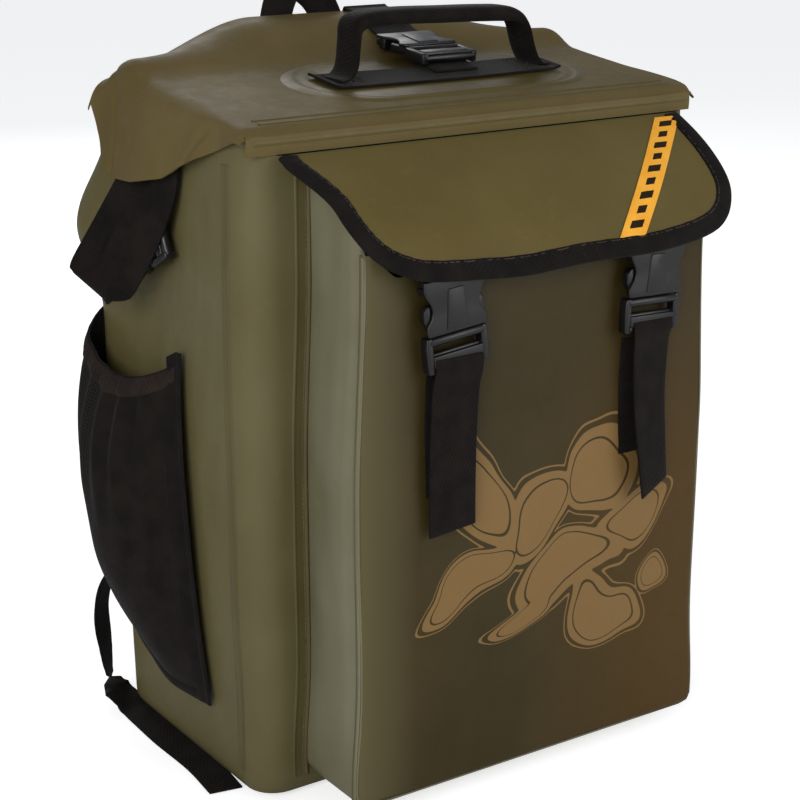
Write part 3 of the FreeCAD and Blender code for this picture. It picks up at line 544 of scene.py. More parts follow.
def shell_point(share, height, proud=0.0):
    """A point on the outside of the body; height runs from 0 at the floor to 1 at the mouth."""
    base, normal = plan_point(share)
    top = wall_top(base.x, base.y)
    z = height * top
    edge = 12 * MM
    inset = 0.0
    if z < edge:
        inset = edge * (1 - math.sqrt(max(1 - (1 - z / edge) ** 2, 0)))
    point, normal = plan_point(share, inset)
    point.z = z
    sideways = abs(normal.x)
    out = side_bulge(point.y, z) * sideways
    free = ease(z, 0.01, 0.05) * (1 - ease(z, 0.43, 0.47))
    if normal.y < -0.5:
        free *= ease(abs(point.x), 0.15, 0.165) * 0.6
    crease = (1.3 * ripple(Vector((point.x, point.y, z * 0.45)), 46, 3)
              + 0.7 * ripple(Vector((point.x * 1.4, point.y * 1.4, z * 0.3)), 19, 8)) * MM
    return point + normal * (out + crease * free + proud)


def body_shell():
    """Walls and floor of the main body as one soft welded shell."""
    floor_rows = 6
    rows = 96

    def rule(u, v):
        row = round(v * (rows + floor_rows))
        if row < floor_rows:
            ring = shell_point(u, 0)
            shrink = row / floor_rows
            return Vector((ring.x * shrink, ring.y * shrink, 0))
        return shell_point(u, (row - floor_rows) / rows)

    piece = sheet("main_body_shell", 240, rows + floor_rows, rule, (1200, 500), wrap=True)
    return finish(thicken(piece, 1.2, -1), OLIVE, "pack", "tarpaulin", "front_panel", "back_panel",
                  "side_panel_left", "side_panel_right", "base_panel")


def share_of(side, along):
    """Where on the body's outline a place lies, given its y along a side."""
    starts = {"right": (FLAT_X + ARC, FLAT_Y, -1),
              "left": (3 * FLAT_X + 3 * ARC + 2 * FLAT_Y, -FLAT_Y, 1)}
    start, first, way = starts[side]
    return (start + (along - first) * way) / OUTLINE


def body_seam(name, side, places, width, heights, proud=0.7):
    """A welded seam: a narrow band that follows the shell, with a ridge along each edge."""
    low, high = heights

    def rule(u, v):
        place = places[0] + (places[1] - places[0]) * v
        share = share_of(side, (place + (u - 0.5) * width) * MM)
        ridge = 0.5 * (hump(u, 0.12, 0.09) + hump(u, 0.88, 0.09))
        edge = -0.9 if u < 0.01 or u > 0.99 else 0
        return shell_point(share, low + (high - low) * v, (proud + ridge + edge) * MM)

    piece = sheet(name, 12, 90, rule, (width, 400))
    smooth(piece, 60)
    return finish(piece, WELD, "pack", "tarpaulin")


# ------------------------------------------------------------------ pocket

def pocket_swell(x, z):
    """How far the face of the front pocket stands out when the pocket is full."""
    across = 1 - (x / (POCKET_HALF + 0.002)) ** 4
    up = math.sin(math.pi * min(max((z - POCKET_LOW) / 0.36, 0.04), 1) ** 0.8)
    corner = 2.5 * MM * hump(x, 0.13, 0.04) * hump(z, 0.03, 0.04)
    return 4.0 * MM * max(across, 0) * max(up, 0) * (1 - ease(z, 0.19, 0.30) * 0.85) + corner


def pocket_width(z):
    """Half the width of the pocket at a height; the filled corners stand out at the bottom."""
    return (POCKET_HALF + 5 * MM * hump(z, 0.03, 0.05) + 1.5 * MM * hump(z, 0.22, 0.12)
            - 4 * MM * ease(z, 0.25, 0.39))


def under_flap(y):
    """Height of the pocket's upper corners: just below the closed flap."""
    way = max(FLAP_HINGE.y - y, 0) / math.cos(math.radians(38))
    return FLAP_HINGE.z - 6 * MM - math.sin(math.radians(40)) * way


def pocket_face():
    """Printed outer face of the front pocket."""

    def rule(u, v):
        corner = (under_flap(POCKET_FRONT) - POCKET_MOUTH) * ease(abs(u * 2 - 1), 0.82, 0.98)
        z = POCKET_LOW + (POCKET_MOUTH + corner - POCKET_LOW) * v
        x = (u * 2 - 1) * pocket_width(z)
        edge = 5 * MM * (1 - math.sqrt(max(1 - max(abs(u * 2 - 1) * 30 - 29, 0) ** 2, 0)))
        foot = 5 * MM * (1 - math.sqrt(max(1 - max(1 - v * 40, 0) ** 2, 0)))
        wrinkle = (0.8 * ripple(Vector((x, 0, z * 0.8)), 55, 11)
                   + 0.4 * ripple(Vector((x, 0, z)), 21, 4)) * MM
        inner = min(1, (1 - abs(u * 2 - 1)) * 8)
        return Vector((x, POCKET_FRONT - pocket_swell(x, z) + edge + foot - wrinkle * inner, z))

    piece = sheet("pocket_face_cloth", 140, 150, rule, (298, 376))
    modify(piece, "SOLIDIFY", thickness=1.2 * MM, offset=1)
    smooth(piece, 60)
    return finish(piece, PRINTED, "pack", "pocket_tarpaulin", "pocket_face")


def pocket_gusset():
    """Sides and bottom of the pocket, one strip folded round its two lower corners."""
    depth = FRONT - POCKET_FRONT

    def rule(u, v):
        # v runs down the left side, along the bottom and up the right side.
        if v < 0.4:
            hand, climb = -1, 1 - v / 0.4
        elif v > 0.6:
            hand, climb = 1, (v - 0.6) / 0.4
        else:
            hand, climb = 0, 0
        y = FRONT - depth * u - 0.3 * MM
        high = min(under_flap(y), POCKET_HIGH + 12 * MM)
        round_low = 9 * MM
        if hand:
            z = POCKET_LOW + round_low + (high - POCKET_LOW - round_low) * climb
            belly = 4 * MM * math.sin(math.pi * u) * math.sin(math.pi * min(climb * 1.1, 1))
            fold = -3.2 * MM * hump(u, 0.86, 0.06) * ease(climb, 0.05, 0.3)
            soft = 1.1 * MM * ripple(Vector((hand * 0.1, y * 2, z * 0.5)), 40, 5)
            x = hand * (pocket_width(z) + belly + fold + soft)
            return Vector((x, y, z))
        t = (v - 0.4) / 0.2
        half = pocket_width(POCKET_LOW)
        x = (t * 2 - 1) * half
        lift = round_low * max(abs(t * 2 - 1) * 20 - 19, 0) ** 2
        return Vector((x, y, POCKET_LOW + lift))

    piece = sheet("pocket_gusset_cloth", 40, 300, rule, (66, 1100))
    return finish(thicken(piece, 1.2, -1), OLIVE_POCKET, "pack", "tarpaulin", "pocket_gusset")


def pocket_edge(name, hand):
    """Raised welded lip where the pocket's face meets its gusset."""

    def rule(u, v):
        z = POCKET_LOW + 6 * MM + (under_flap(POCKET_FRONT) - POCKET_LOW - 7 * MM) * v
        turn = u * 2 * math.pi
        x = hand * (pocket_width(z) + 0.3 * MM + 0.9 * MM * math.cos(turn))
        y = POCKET_FRONT + 1.6 * MM - pocket_swell(x, z) * 0.2 + 1.6 * MM * math.sin(turn)
        return Vector((x, y, z))

    piece = sheet(name, 10, 100, rule, (8, 370), wrap=True)
    return finish(smooth(outward(piece), 60), OLIVE_POCKET, "pack", "tarpaulin")


def gusset_flange(name, hand):
    """Flat flange that joins the gusset to the front of the main body, with a stitched ridge."""

    def rule(u, v):
        z = POCKET_LOW + (POCKET_HIGH + 12 * MM - POCKET_LOW) * v
        x = hand * (pocket_width(z) - 1 * MM + u * 13 * MM)
        ridge = 1.4 * hump(u, 0.16, 0.10) + 0.5 * hump(u, 0.9, 0.07)
        edge = -0.8 if u > 0.99 else 0
        return Vector((x, FRONT - (0.6 + ridge + edge) * MM, z))

    piece = sheet(name, 16, 120, rule, (13, 420))
    finish(smooth(outward(piece), 60), WELD, "pack", "tarpaulin")
    stitches(name + "_stitch", lambda t: rule(0.36, t), 430, "pack", "tarpaulin", THREAD_OLIVE,
             (0, -1, 0))


# ---------------------------------------------------------------- roll top

HEM = ((-108.5, 480), (-71, 466), (-41, 454), (-17, 441), (20, 434), (54, 432), (76, 442),
       (92, 458), (104, 474), (112, 488))


def along_table(table, value):
    """A value read smoothly from pairs."""
    if value <= table[0][0]:
        return table[0][1]
    for (x1, y1), (x2, y2) in zip(table, table[1:]):
        if value <= x2:
            t = (value - x1) / (x2 - x1)
            return y1 + (y2 - y1) * t
    return table[-1][1]


def top_height(x, y):
    """Height of the top of the pack above the floor, from its front edge to the roll."""
    slope = TOP_FRONT + (y - FRONT) * TOP_SLOPE
    before_roll = TOP_FRONT + 0.172 * TOP_SLOPE
    rise = (TOP_ROLL - 1.5 * MM - before_roll) * ease(y, 0.030, 0.090)
    droop = 38 * MM * ease(abs(x), 0.066, 0.195) * ease(y, 0.050, 0.108)
    soft = 1.6 * MM * ripple(Vector((x, y, 0)), 75, 2) * ease(y, -0.10, -0.05)
    dip = 1.5 * MM * hump(x, PLATE.x, 0.09) * hump(y, PLATE.y, 0.04)
    return slope + rise - droop + soft * (1 - hump(x, PLATE.x, 0.11)) - dip


def cape_point(across, along):
    """A point on the folded top: across from -1 to 1, along from the front lip to the back."""
    hand = -1 if across < 0 else 1
    lip = 0.09
    back_fold = 0.93
    if along < lip:
        t = along / lip
        z = HINGE_Z + 1.2 * MM + (TOP_FRONT - 4 * MM - HINGE_Z - 1.2 * MM) * t
        half = HALF + (1 if hand < 0 else -6) * MM
        return Vector((across * half, FRONT - 0.9 * MM - 0.5 * MM * math.sin(t * 3), z))
    t = min((along - lip) / (back_fold - lip), 1)
    y = FRONT + (BACK - 3 * MM - FRONT) * t
    front_round = 4 * MM * (1 - ease(y, FRONT, FRONT + 9 * MM))
    behind = max(along - back_fold, 0) / (1 - back_fold)
    radius = (2 + 9 * ease(y, -0.10, -0.03)) * MM
    pull = 7 * MM * hump(y, FRONT, 0.014) if hand > 0 else 0
    flat = HALF + 1 * MM - radius - pull
    drop = max(top_height(HALF, y) - along_table(HEM, y / MM) * MM, 1 * MM)
    arc = math.pi / 2 * radius
    if drop < radius:
        arc = radius * math.acos(1 - drop / radius)
    length = flat + arc + max(drop - radius, 0)
    way = abs(across) ** 0.9 * length
    top = top_height(min(way, flat) * hand, y) - front_round
    if way <= flat:
        x, z = way, top
    elif way <= flat + arc:
        turn = (way - flat) / radius
        x, z = flat + radius * math.sin(turn), top - radius * (1 - math.cos(turn))
    else:
        x, z = flat + radius, top - radius - (way - flat - arc)
    down = max(way - flat, 0) / max(length - flat, 1e-6)
    share = max(min(down, 1), 0)
    tip = hump(y, 0.02, 0.06)
    bulge = side_bulge(y, z) * ease(way, flat, flat + arc + 5 * MM)
    out = bulge + (3 + 17 * tip) * MM * share ** 1.2
    pleat = 2.2 * MM * share * math.sin(y * 120 + 1) * (1 - tip)
    crease = -2.6 * MM * hump(y, 0.086 - 0.030 * share, 0.004) * ease(share, 0.02, 0.15)
    crease -= 1.8 * MM * hump(y, -0.040 - 0.040 * (1 - share), 0.004) * ease(share, 0.3, 0.6)
    x += out + (pleat + crease)
    y_shift = -2.5 * MM * hump(y, FRONT, 0.02) * ease(abs(across), 0.8, 1)
    if behind:
        back = math.sin(behind * math.pi / 2)
        z -= 22 * MM * behind * (1 if way <= flat else 0.3)
        y_shift += 4.5 * MM * back
    return Vector((x * hand, y + y_shift, z))


def roll_top_cape():
    """The coated fabric of the closure: front lip, sloping top, roll and both folded ends."""

    def rule(u, v):
        return cape_point(u * 2 - 1, v)

    piece = sheet("roll_top_cape", 260, 150, rule, (480, 300))
    return finish(thicken(piece, 1.3, -1), OLIVE_TOP, "roll_top", "tarpaulin", "roll_cover",
                  "roll_ear_left", "roll_ear_right", "roll_bundle", "mouth_stiffener")


def on_top(x, y, proud=0.0):
    """A point on the top of the pack, in millimetres across and along."""
    return Vector((x * MM, y * MM, top_height(x * MM, y * MM) + proud * MM))


def top_weld(name, y, width):
    """Weld line along the front edge of the top."""

    def rule(u, v):
        place = y + (u - 0.5) * width
        ridge = 0.8 * hump(u, 0.5, 0.28) - (0.3 if u in (0, 1) else 0)
        return on_top((v * 2 - 1) * 176, place, ridge)

    piece = sheet(name, 8, 160, rule, (width, 352))
    return finish(smooth(outward(piece), 60), WELD_TOP, "roll_top", "tarpaulin")


def lip_weld(name, z, width):
    """Weld line along the front lip of the closure."""

    def rule(u, v):
        ridge = 0.4 * hump(u, 0.5, 0.28)
        high = z * MM + (u - 0.5) * width * MM
        return Vector(((-187 + 370 * v) * MM, FRONT - (1.3 + ridge) * MM, high))

    piece = sheet(name, 8, 60, rule, (width, 372))
    return finish(smooth(outward(piece), 60), WELD_TOP, "roll_top", "tarpaulin")


def stadium(half_long, half_deep, turn):
    """A point on an outline with straight sides and round ends, turn from 0 to 1."""
    angle = turn * 2 * math.pi
    straight = half_long - half_deep
    cos = math.cos(angle)
    x = cos * half_deep + math.copysign(straight, cos) * min(abs(cos) * 8, 1)
    return x, math.sin(angle) * half_deep


def oval_patch():
    """Welded patch under the handle: a low oval plateau with a ribbed rim."""
    low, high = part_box("handle_patch")
    centre = (low + high) / 2 / MM
    half_long = (high.x - low.x) / 2 / MM
    half_deep = (high.y - low.y) / 2 / MM

    def rule(u, v):
        ring = 0.7 * hump(v, 0.94, 0.02) + 0.5 * hump(v, 0.85, 0.02)
        proud = 0.9 * (1 - ease(v, 0.97, 1.0)) + ring
        grow = 0.02 + 0.98 * v
        x, y = stadium(half_long, half_deep, u)
        return on_top(centre.x + x * grow, centre.y + y * grow, proud)

    piece = sheet("handle_patch_oval", 120, 50, rule, (600, 60), wrap=True)
    return finish(smooth(outward(piece), 60), WELD_TOP, "roll_top", "tarpaulin", "handle_patch")


# -------------------------------------------------------------------- flap

FLAP_LOW, FLAP_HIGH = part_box("flap_binding")
FLAP_LONG = math.hypot(FLAP_HIGH.y - FLAP_LOW.y, FLAP_HIGH.z - FLAP_LOW.z) - 2 * MM


def flap_point(x, way, proud=0.0):
    """A point on the closed flap: x across, way down from the hinge, in metres."""
    share = way / FLAP_LONG
    angle = math.radians(38) + math.radians(9) * (share - 0.5)
    wave = (2.2 * MM * math.sin(x * 26 + 0.8) + 1.2 * MM * math.sin(x * 61)) * share ** 2
    edge = -3.5 * MM * ease(abs(x), 0.11, FLAP_HIGH.x) * share ** 1.5
    soft = 0.9 * MM * ripple(Vector((x, way, 0)), 60, 6) * min(share * 3, 1)
    crown = 3.5 * MM * math.sin(math.pi * share)
    lift = crown + wave + edge + soft + proud
    y = FLAP_HINGE.y - math.cos(angle) * way - math.sin(angle) * lift
    z = FLAP_HINGE.z + 0.5 * MM - math.sin(angle) * way + math.cos(angle) * lift
    return Vector((x, y, z))


# Edge of the flap from its left hinge end round to the right, as x and way in millimetres; the
# left side is drawn in where the flap curls.
FLAP_EDGE = ((-169, 0), (-168, 10), (-163, 22), (-157, 35), (-153, 47), (-151.5, 60), (-149, 71),
             (-144, 83), (-135, 94), (-122, 102), (-108, 107), (-80, 111), (-39, 113.5), (0, 114),
             (42, 114), (76, 113), (107, 110.5), (129, 107), (147, 101), (160, 92), (168, 81),
             (172, 70), (173, 57), (172.5, 42), (171, 25), (169.5, 10), (168.5, 0))
FLAP_RUN = curve_points([(x, way, 0) for x, way in FLAP_EDGE], 9)


def flap_cloth():
    """Fabric of the flap."""
    count = len(FLAP_RUN) - 1
    hinge = 30
    ring = FLAP_RUN + [Vector((168.5 - 337.5 * step / hinge, 0, 0)) for step in range(1, hinge)]

    def rule(u, v):
        edge = ring[round(u * (count + hinge)) % len(ring)]
        centre = Vector((0, 48, 0))
        place = centre + (edge - centre) * v
        return flap_point(place.x * MM, place.y * MM)

    piece = sheet("flap_cloth", count + hinge, 70, rule, (900, 116), wrap=True)
    return finish(thicken(piece, 1.6), FLAP_CLOTH, "flap", "pocket_tarpaulin", "flap_panel")


def flap_rim(turn):
    """A point on the flap's edge and the way in; turn runs from 0 at the left hinge end to 1."""
    count = len(FLAP_RUN) - 1
    index = min(round(turn * count), count)
    tangent = FLAP_RUN[min(index + 1, count)] - FLAP_RUN[max(index - 1, 0)]
    inward = Vector((tangent.y, -tangent.x, 0)).normalized()
    return FLAP_RUN[index], inward


def flap_binding():
    """Folded tape round the edge of the flap, thick where it turns over the raw edge."""
    section = ((11.5, 1.0), (11, 1.7), (6, 2.1), (1, 2.3), (-1.6, 1.5), (-2.2, 0), (-1.6, -1.5),
               (1, -2.2), (6, -2.0), (11, -1.7), (11.5, -1.0))

    def rule(u, v):
        edge, way_in = flap_rim(v)
        inward, lift = section[round(u * len(section)) % len(section)]
        place = edge + way_in * inward
        pucker = 0.2 * math.sin(v * 260) * (1 if inward > 5 else 0)
        return flap_point(place.x * MM, max(place.y, 0) * MM, (lift + pucker) * MM)

    piece = sheet("flap_binding_tape", len(section), len(FLAP_RUN) - 1, rule, (26, 620),
                  wrap=True)
    close_ends(piece)
    finish(piece, BINDING, "flap", "webbing", "flap_binding")

    def seam(distance):
        edge, way_in = flap_rim(0.06 + 0.88 * distance)
        place = edge + way_in * 9.5
        return flap_point(place.x * MM, max(place.y, 0) * MM, 1.6 * MM)

    stitches("flap_binding_stitch", seam, 495, "flap", "webbing", THREAD_BLACK, (0, -0.6, 0.8))


def flap_ribbon(name, places, width, proud, material, *nodes):
    """A ribbon sewn on the flap between two (x, way) places, in millimetres."""
    (x1, w1), (x2, w2) = places
    length = math.hypot(x2 - x1, w2 - w1)

    def rule(u, v):
        x = x1 + (x2 - x1) * v + (u - 0.5) * width
        way = w1 + (w2 - w1) * v
        edge = -0.45 if u < 0.01 or u > 0.99 or v < 0.004 or v > 0.996 else 0
        return flap_point(x * MM, way * MM, (proud + edge) * MM)

    piece = sheet(name, 10, max(int(length), 6), rule, (width, length))
    return finish(smooth(outward(piece), 60), material, "flap", "label", *nodes)


def label():
    """Amber ribbon across the flap with a woven row of plain slanted bars."""
    ends = (158, 3), (63, 103)
    flap_ribbon("label_ribbon", ends, 24, 1.9, RIBBON, "flap_label")

    def at(share):
        return tuple(start + (end - start) * share for start, end in zip(*ends))

    for index in range(9):
        share = 0.05 + index * 0.104
        flap_ribbon("label_bar_%d" % (index + 1), (at(share), at(share + 0.062)),
                    13 - 4 * (index % 2), 2.15, RIBBON_DARK)


# ------------------------------------------------------------------- clips

def outline_block(name, outline, thick, matrix, bevel):
    """A moulded plate: an outline in millimetres pulled to a thickness, edges rounded."""
    deselect()
    bpy.ops.mesh.primitive_circle_add(vertices=len(outline), radius=1, fill_type="NGON")
    piece = bpy.context.object
    piece.name = name
    for vertex, (x, z) in zip(piece.data.vertices, outline):
        vertex.co = (x * MM, thick / 2 * MM, z * MM)
    edit(piece, (bpy.ops.mesh.extrude_region_move,
                 {"TRANSFORM_OT_translate": {"value": (0, -thick * MM, 0)}}))
    outward(piece)
    modify(piece, "BEVEL", width=bevel * MM, segments=3, limit_method="ANGLE",
           angle_limit=math.radians(25))
    piece.data.transform(matrix)
    return smooth(piece, 40)


def join(pieces, name):
    activate(pieces[0])
    for piece in pieces[1:]:
        piece.select_set(True)
    bpy.ops.object.join()
    pieces[0].name = name
    return pieces[0]


def rod(length, radius, matrix, place, squash=1.0):
    """A round bar across a clip, along its local x."""
    deselect()
    bpy.ops.mesh.primitive_cylinder_add(vertices=24, radius=radius * MM, depth=length * MM,
                                        rotation=(0, math.pi / 2, 0))
    piece = bpy.context.object
    bpy.ops.object.transform_apply(location=True, rotation=True, scale=True)
    modify(piece, "BEVEL", width=0.5 * MM, segments=2, limit_method="ANGLE")
    piece.data.transform(Matrix.Diagonal((1, squash, 1, 1)))
    piece.data.transform(Matrix.Translation(Vector(place) * MM))
    piece.data.transform(matrix)
    return smooth(piece)


# The two front clips hang a little inwards and lean with the pull of their webbing.
CLIP_SHIFT = {"left": 6 * MM, "right": 2.5 * MM}
CLIP_LEAN = {"left": -0.10, "right": 0.03}
SOCKET_HALF = 19 * MM


def socket_half(name, matrix, body, node):
    """Female half: a waisted front shell with a rib, a core, and a webbing bar at the top."""
    shell = [(-23.5, 0), (-24.5, 3), (-24, 7), (-20, 12), (-18.5, 17), (-20, 22), (-23, 27),
             (-24.5, 31), (-24, 38), (24, 38), (24.5, 31), (23, 27), (20, 22), (18.5, 17),
             (20, 12), (24, 7), (24.5, 3), (23.5, 0)]
    front = outline_block(name, shell, 2.6, matrix @ Matrix.Translation((0, -4.6 * MM, 0)), 1.1)
    rib = outline_block("rib", [(-9, 3), (-6, 30), (6, 30), (9, 3)], 1.4,
                        matrix @ Matrix.Translation((0, -6.0 * MM, 0)), 0.6)
    core = outline_block("core", [(-23, 27), (-24, 31), (-24, 33), (24, 33), (24, 31), (23, 27)],
                         8.6, matrix, 1.2)
    bar = rod(46, 2.6, matrix, (0, 0, 36.2))
    piece = join([front, rib, core, bar], name)
    return finish(piece, ACETAL, body, "clip_plastic", node)


def plug_half(name, matrix, body, node, arms=False):
    """Male half: a ladder of three bars between side rails, and the guide tongue above."""
    parts = []
    for hand in (-1, 1):
        rail = [(hand * 19.5, -27), (hand * 24.5, -26), (hand * 25, -8), (hand * 24, -1),
                (hand * 19.5, -1)]
        parts.append(outline_block("rail", rail, 8.4, matrix, 1.4))
        if arms:
            parts.append(arm_block("arm", matrix, hand))
    parts.append(rod(44, 3.6, matrix, (0, -0.6, -4.2), 1.15))
    parts.append(rod(44, 2.2, matrix, (0, 0.6, -14.5), 1.0))
    parts.append(rod(44, 3.4, matrix, (0, -0.4, -24), 1.0))
    face = [(-20, -22), (-20, -14), (20, -14), (20, -22)]
    parts.append(outline_block("face", face, 2.2,
                               matrix @ Matrix.Translation((0, -3.4 * MM, 0)), 0.8))
    tongue = [(-6, -2), (-4.5, 20), (4.5, 20), (6, -2)]
    parts.append(outline_block("tongue", tongue, 4.5, matrix, 1.0))
    piece = join(parts, name)
    return finish(piece, ACETAL, body, "clip_plastic", node)


def arm_block(name, matrix, hand):
    """Sprung arm with the ribbed pad that shows at the side of a closed clip."""
    outline = [(15.5, 0.8), (19.5, 0.8), (21, 5), (24.2, 9.5), (24.2, 17), (21, 20.5),
               (15.5, 20.5), (15.5, 17), (18, 14), (17, 7)]
    points = [(x * hand, z) for x, z in outline]
    return outline_block(name, points, 6.2, matrix, 0.9)


def clip_matrix(centre, along, out):
    """Local frame of a clip: z along the closing move, -y towards the outer side."""
    along = along.normalized()
    out = out.normalized()
    across = (-out).cross(along)
    rotation = Matrix((across, -out, along)).transposed().to_4x4()
    return Matrix.Translation(centre) @ rotation


def build_clips():
    """All five side-release clips, each in its own halves."""
    for side, hand in SIDES:
        low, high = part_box("front_socket_" + side)
        centre = Vector(((low.x + high.x) / 2 + CLIP_SHIFT[side], (low.y + high.y) / 2, low.z))
        at = clip_matrix(centre, Vector((CLIP_LEAN[side], 0, 1)), Vector((0, -1, 0)))
        socket_half("front_socket_%s_moulding" % side, at, "flap", "front_socket_" + side)
        plug_half("front_clip_%s_moulding" % side, at, "front_clip_" + side,
                  "front_clip_" + side)
        for which, way in (("inner", -hand), ("outer", hand)):
            name = "clip_arm_%s_%s" % (which, side)
            piece = arm_block(name + "_moulding", at, way)
            finish(piece, ACETAL, name, "clip_plastic", name)
        hinge = Vector(JOINTS["roll_top_hinge"]["pos_m"])
        socket = middle("side_socket_" + side)
        arm = Vector((0, socket.y - hinge.y, socket.z - hinge.z))
        along = Vector((0, -arm.z, arm.y)).normalized()
        mouth = socket - along * SOCKET_HALF
        at = clip_matrix(mouth, along, Vector((hand, 0, 0)))
        socket_half("side_socket_%s_moulding" % side, at, "pack", "side_socket_" + side)
        plug_half("side_clip_%s_moulding" % side, at, "roll_top", "side_clip_" + side, True)
    slope = Vector((0, 1, TOP_SLOPE)).normalized()
    up = Vector((0, -TOP_SLOPE, 1)).normalized()
    mouth = middle("top_socket") - slope * SOCKET_HALF
    at = clip_matrix(mouth, slope, up)
    socket_half("top_socket_moulding", at, "roll_top", "top_socket")
    plug_half("top_clip_moulding", at, "top_clip", "top_clip", True)


# ------------------------------------------------------------------ webbing

def front_webbing(side, hand):
    """Fixed layer, hanging tail and the tab under the flap, at one front clip."""
    clip = middle("front_clip_" + side) / MM
    clip.x += CLIP_SHIFT[side] / MM + (2 if hand < 0 else 0)
    tail_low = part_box("front_tail_" + side)[0].z / MM
    face_y = POCKET_FRONT / MM
    twist = 5 if hand > 0 else 0
    layer = [(clip.x, face_y - 1.6, 322), (clip.x - 1, face_y - 1.8, 290),
             (clip.x - 1, face_y - 2.2, 250), (clip.x - 1, face_y - 2.6, tail_low + 24)]
    piece = ribbon("fixed_webbing_" + side, layer, WIDE, 1.6, (0, -1, 0))
    finish(piece, WEBBING, "pack", "webbing", "front_anchor_" + side)
    tail = [(clip.x, clip.y - 4.4, 336), (clip.x, clip.y - 4.9, 327),
            (clip.x + hand, clip.y - 2.0, 312), (clip.x + hand * 2, clip.y - 1.0, 280),
            (clip.x + hand * 3, clip.y - 1.6 - twist * 0.5, 245),
            (clip.x + hand * 2.5 + twist, clip.y - 1.2 - twist * 0.6,
             tail_low - (4 if hand > 0 else 0))]
    face = ((0, -1, 0), (0.35, -0.93, 0)) if hand > 0 else (0, -1, 0)
    piece = ribbon("clip_tail_" + side, tail, 38 if hand < 0 else 36, 1.7, face, cut_end=-3)
    finish(piece, WEBBING, "front_clip_" + side, "webbing", "front_tail_" + side)
    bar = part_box("front_socket_" + side)[1].z / MM
    tab = [(clip.x, clip.y + 22, bar + 9), (clip.x, clip.y + 10, bar + 7),
           (clip.x, clip.y + 1, bar + 2), (clip.x, clip.y - 2.8, bar - 3)]
    piece = ribbon("flap_tab_%s_webbing" % side, tab, WIDE, 1.7, (0, -0.4, 0.9))
    finish(piece, WEBBING, "flap", "webbing", "flap_tab_" + side)


def ear_webbing(side, hand):
    """Broad webbing that hangs in a loop from a folded roll end, and its anchor below."""
    near = curve_points([(197, 12, 456), (198, 14, 440), (213, 24, 394), (229, 34, 356),
                         (229, 29, 350), (221, 17, 351), (215, 11, 360), (206, -6, 392),
                         (199, -20, 426), (197, -25, 450)], 6)
    far = curve_points([(200, 48, 456), (203, 50, 440), (226, 54, 402), (244, 56, 374),
                        (243, 52, 368), (236, 44, 368), (230, 38, 376), (221, 24, 404),
                        (205, 8, 432), (199, 4, 450)], 6)
    count = len(near) - 1

    def loop_rule(u, v):
        point = near[round(v * count)].lerp(far[round(v * count)], u)
        return Vector((point.x * hand, point.y, point.z)) * MM

    piece = sheet("ear_webbing_" + side, 8, count, loop_rule, (38, 210))
    finish(strip(piece, 1.8), WEBBING, "roll_top", "webbing", "ear_strap_" + side)
    anchor = middle("side_anchor_" + side) / MM

    def anchor_rule(u, v):
        y = (anchor.y - 20 + 44 * v + (u - 0.5) * 26) * MM
        z = (anchor.z + 16 - 34 * v + (u - 0.5) * 26) * MM
        return Vector((side_x(y, z, hand, 1.6 * MM), y, z))

    piece = sheet("side_anchor_%s_webbing" % side, 8, 16, anchor_rule, (36, 56))
    finish(strip(piece, 1.7), WEBBING, "pack", "webbing", "side_anchor_" + side)


def handle():
    """Carry handle: flat feet sewn to the plate, legs that rise into a thick folded grip."""
    low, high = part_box("handle_plate")
    x, y = PLATE.x / MM, PLATE.y / MM

    def plate_rule(u, v):
        px = low.x / MM + (high.x - low.x) / MM * v
        py = y + (u - 0.5) * 38
        curl = 1.6 * (hump(v, 0, 0.02) + hump(v, 1, 0.02))
        return on_top(px, py, 2.6 + curl)

    plate = sheet("handle_plate_webbing", 8, 90, plate_rule, (38, 200))
    finish(strip(plate, 1.7, 50), WEBBING, "roll_top", "webbing", "handle_plate")
    for side, hand in SIDES:
        near, far = x + hand * 70, x + hand * 96
        corners = [Vector((px, py, 0)) for px, py in (
            (near, y - 14), (far, y - 14), (far, y + 14), (near, y + 14), (near, y - 14),
            (far, y + 14))]

        def box_seam(share):
            place = along_corners(corners, share)
            return on_top(place.x, place.y, 3.6)

        stitches("handle_box_stitch_" + side, box_seam, 146, "roll_top", "webbing", THREAD_BLACK,
                 (0, 0, 1))
    foot = top_height(PLATE.x, PLATE.y) / MM + 4.2
    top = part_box("handle_grip")[1].z / MM
    path = curve_points([Vector(point) * MM for point in (
        (x - 92, y, foot + 0.5), (x - 84, y, foot + 2.5), (x - 79, y, foot + 10),
        (x - 77, y, top - 18), (x - 75, y, top - 7), (x - 66, y, top - 2),
        (x - 36, y, top - 1), (x, y, top - 2),
        (x + 36, y, top - 3), (x + 62, y, top - 5), (x + 72, y, top - 12), (x + 78, y, foot + 14),
        (x + 84, y, foot + 3), (x + 93, y, foot + 0.5))], 7)
    count = len(path) - 1

    def handle_rule(u, v):
        index = min(round(v * count), count)
        side = Vector((0, 1, 0))
        up = tangent_at(path, index).cross(side)
        grip = ease(v, 0.24, 0.34) * (1 - ease(v, 0.66, 0.78))
        wide = 15.5 - 1.5 * grip
        thick = 1.5 + 4.4 * grip
        angle = u * 2 * math.pi
        sx = signed_power(math.cos(angle), 0.45)
        sy = signed_power(math.sin(angle), 0.8)
        return path[index] + (side * sx * wide - up * sy * thick) * MM

    piece = sheet("handle_webbing", 32, count, handle_rule, (70, 230), wrap=True)
    close_ends(piece)
    piece.data.materials.clear()
    piece.data.materials.append(WEBBING)
    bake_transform(piece)
    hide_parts("handle_strap", "handle_grip")


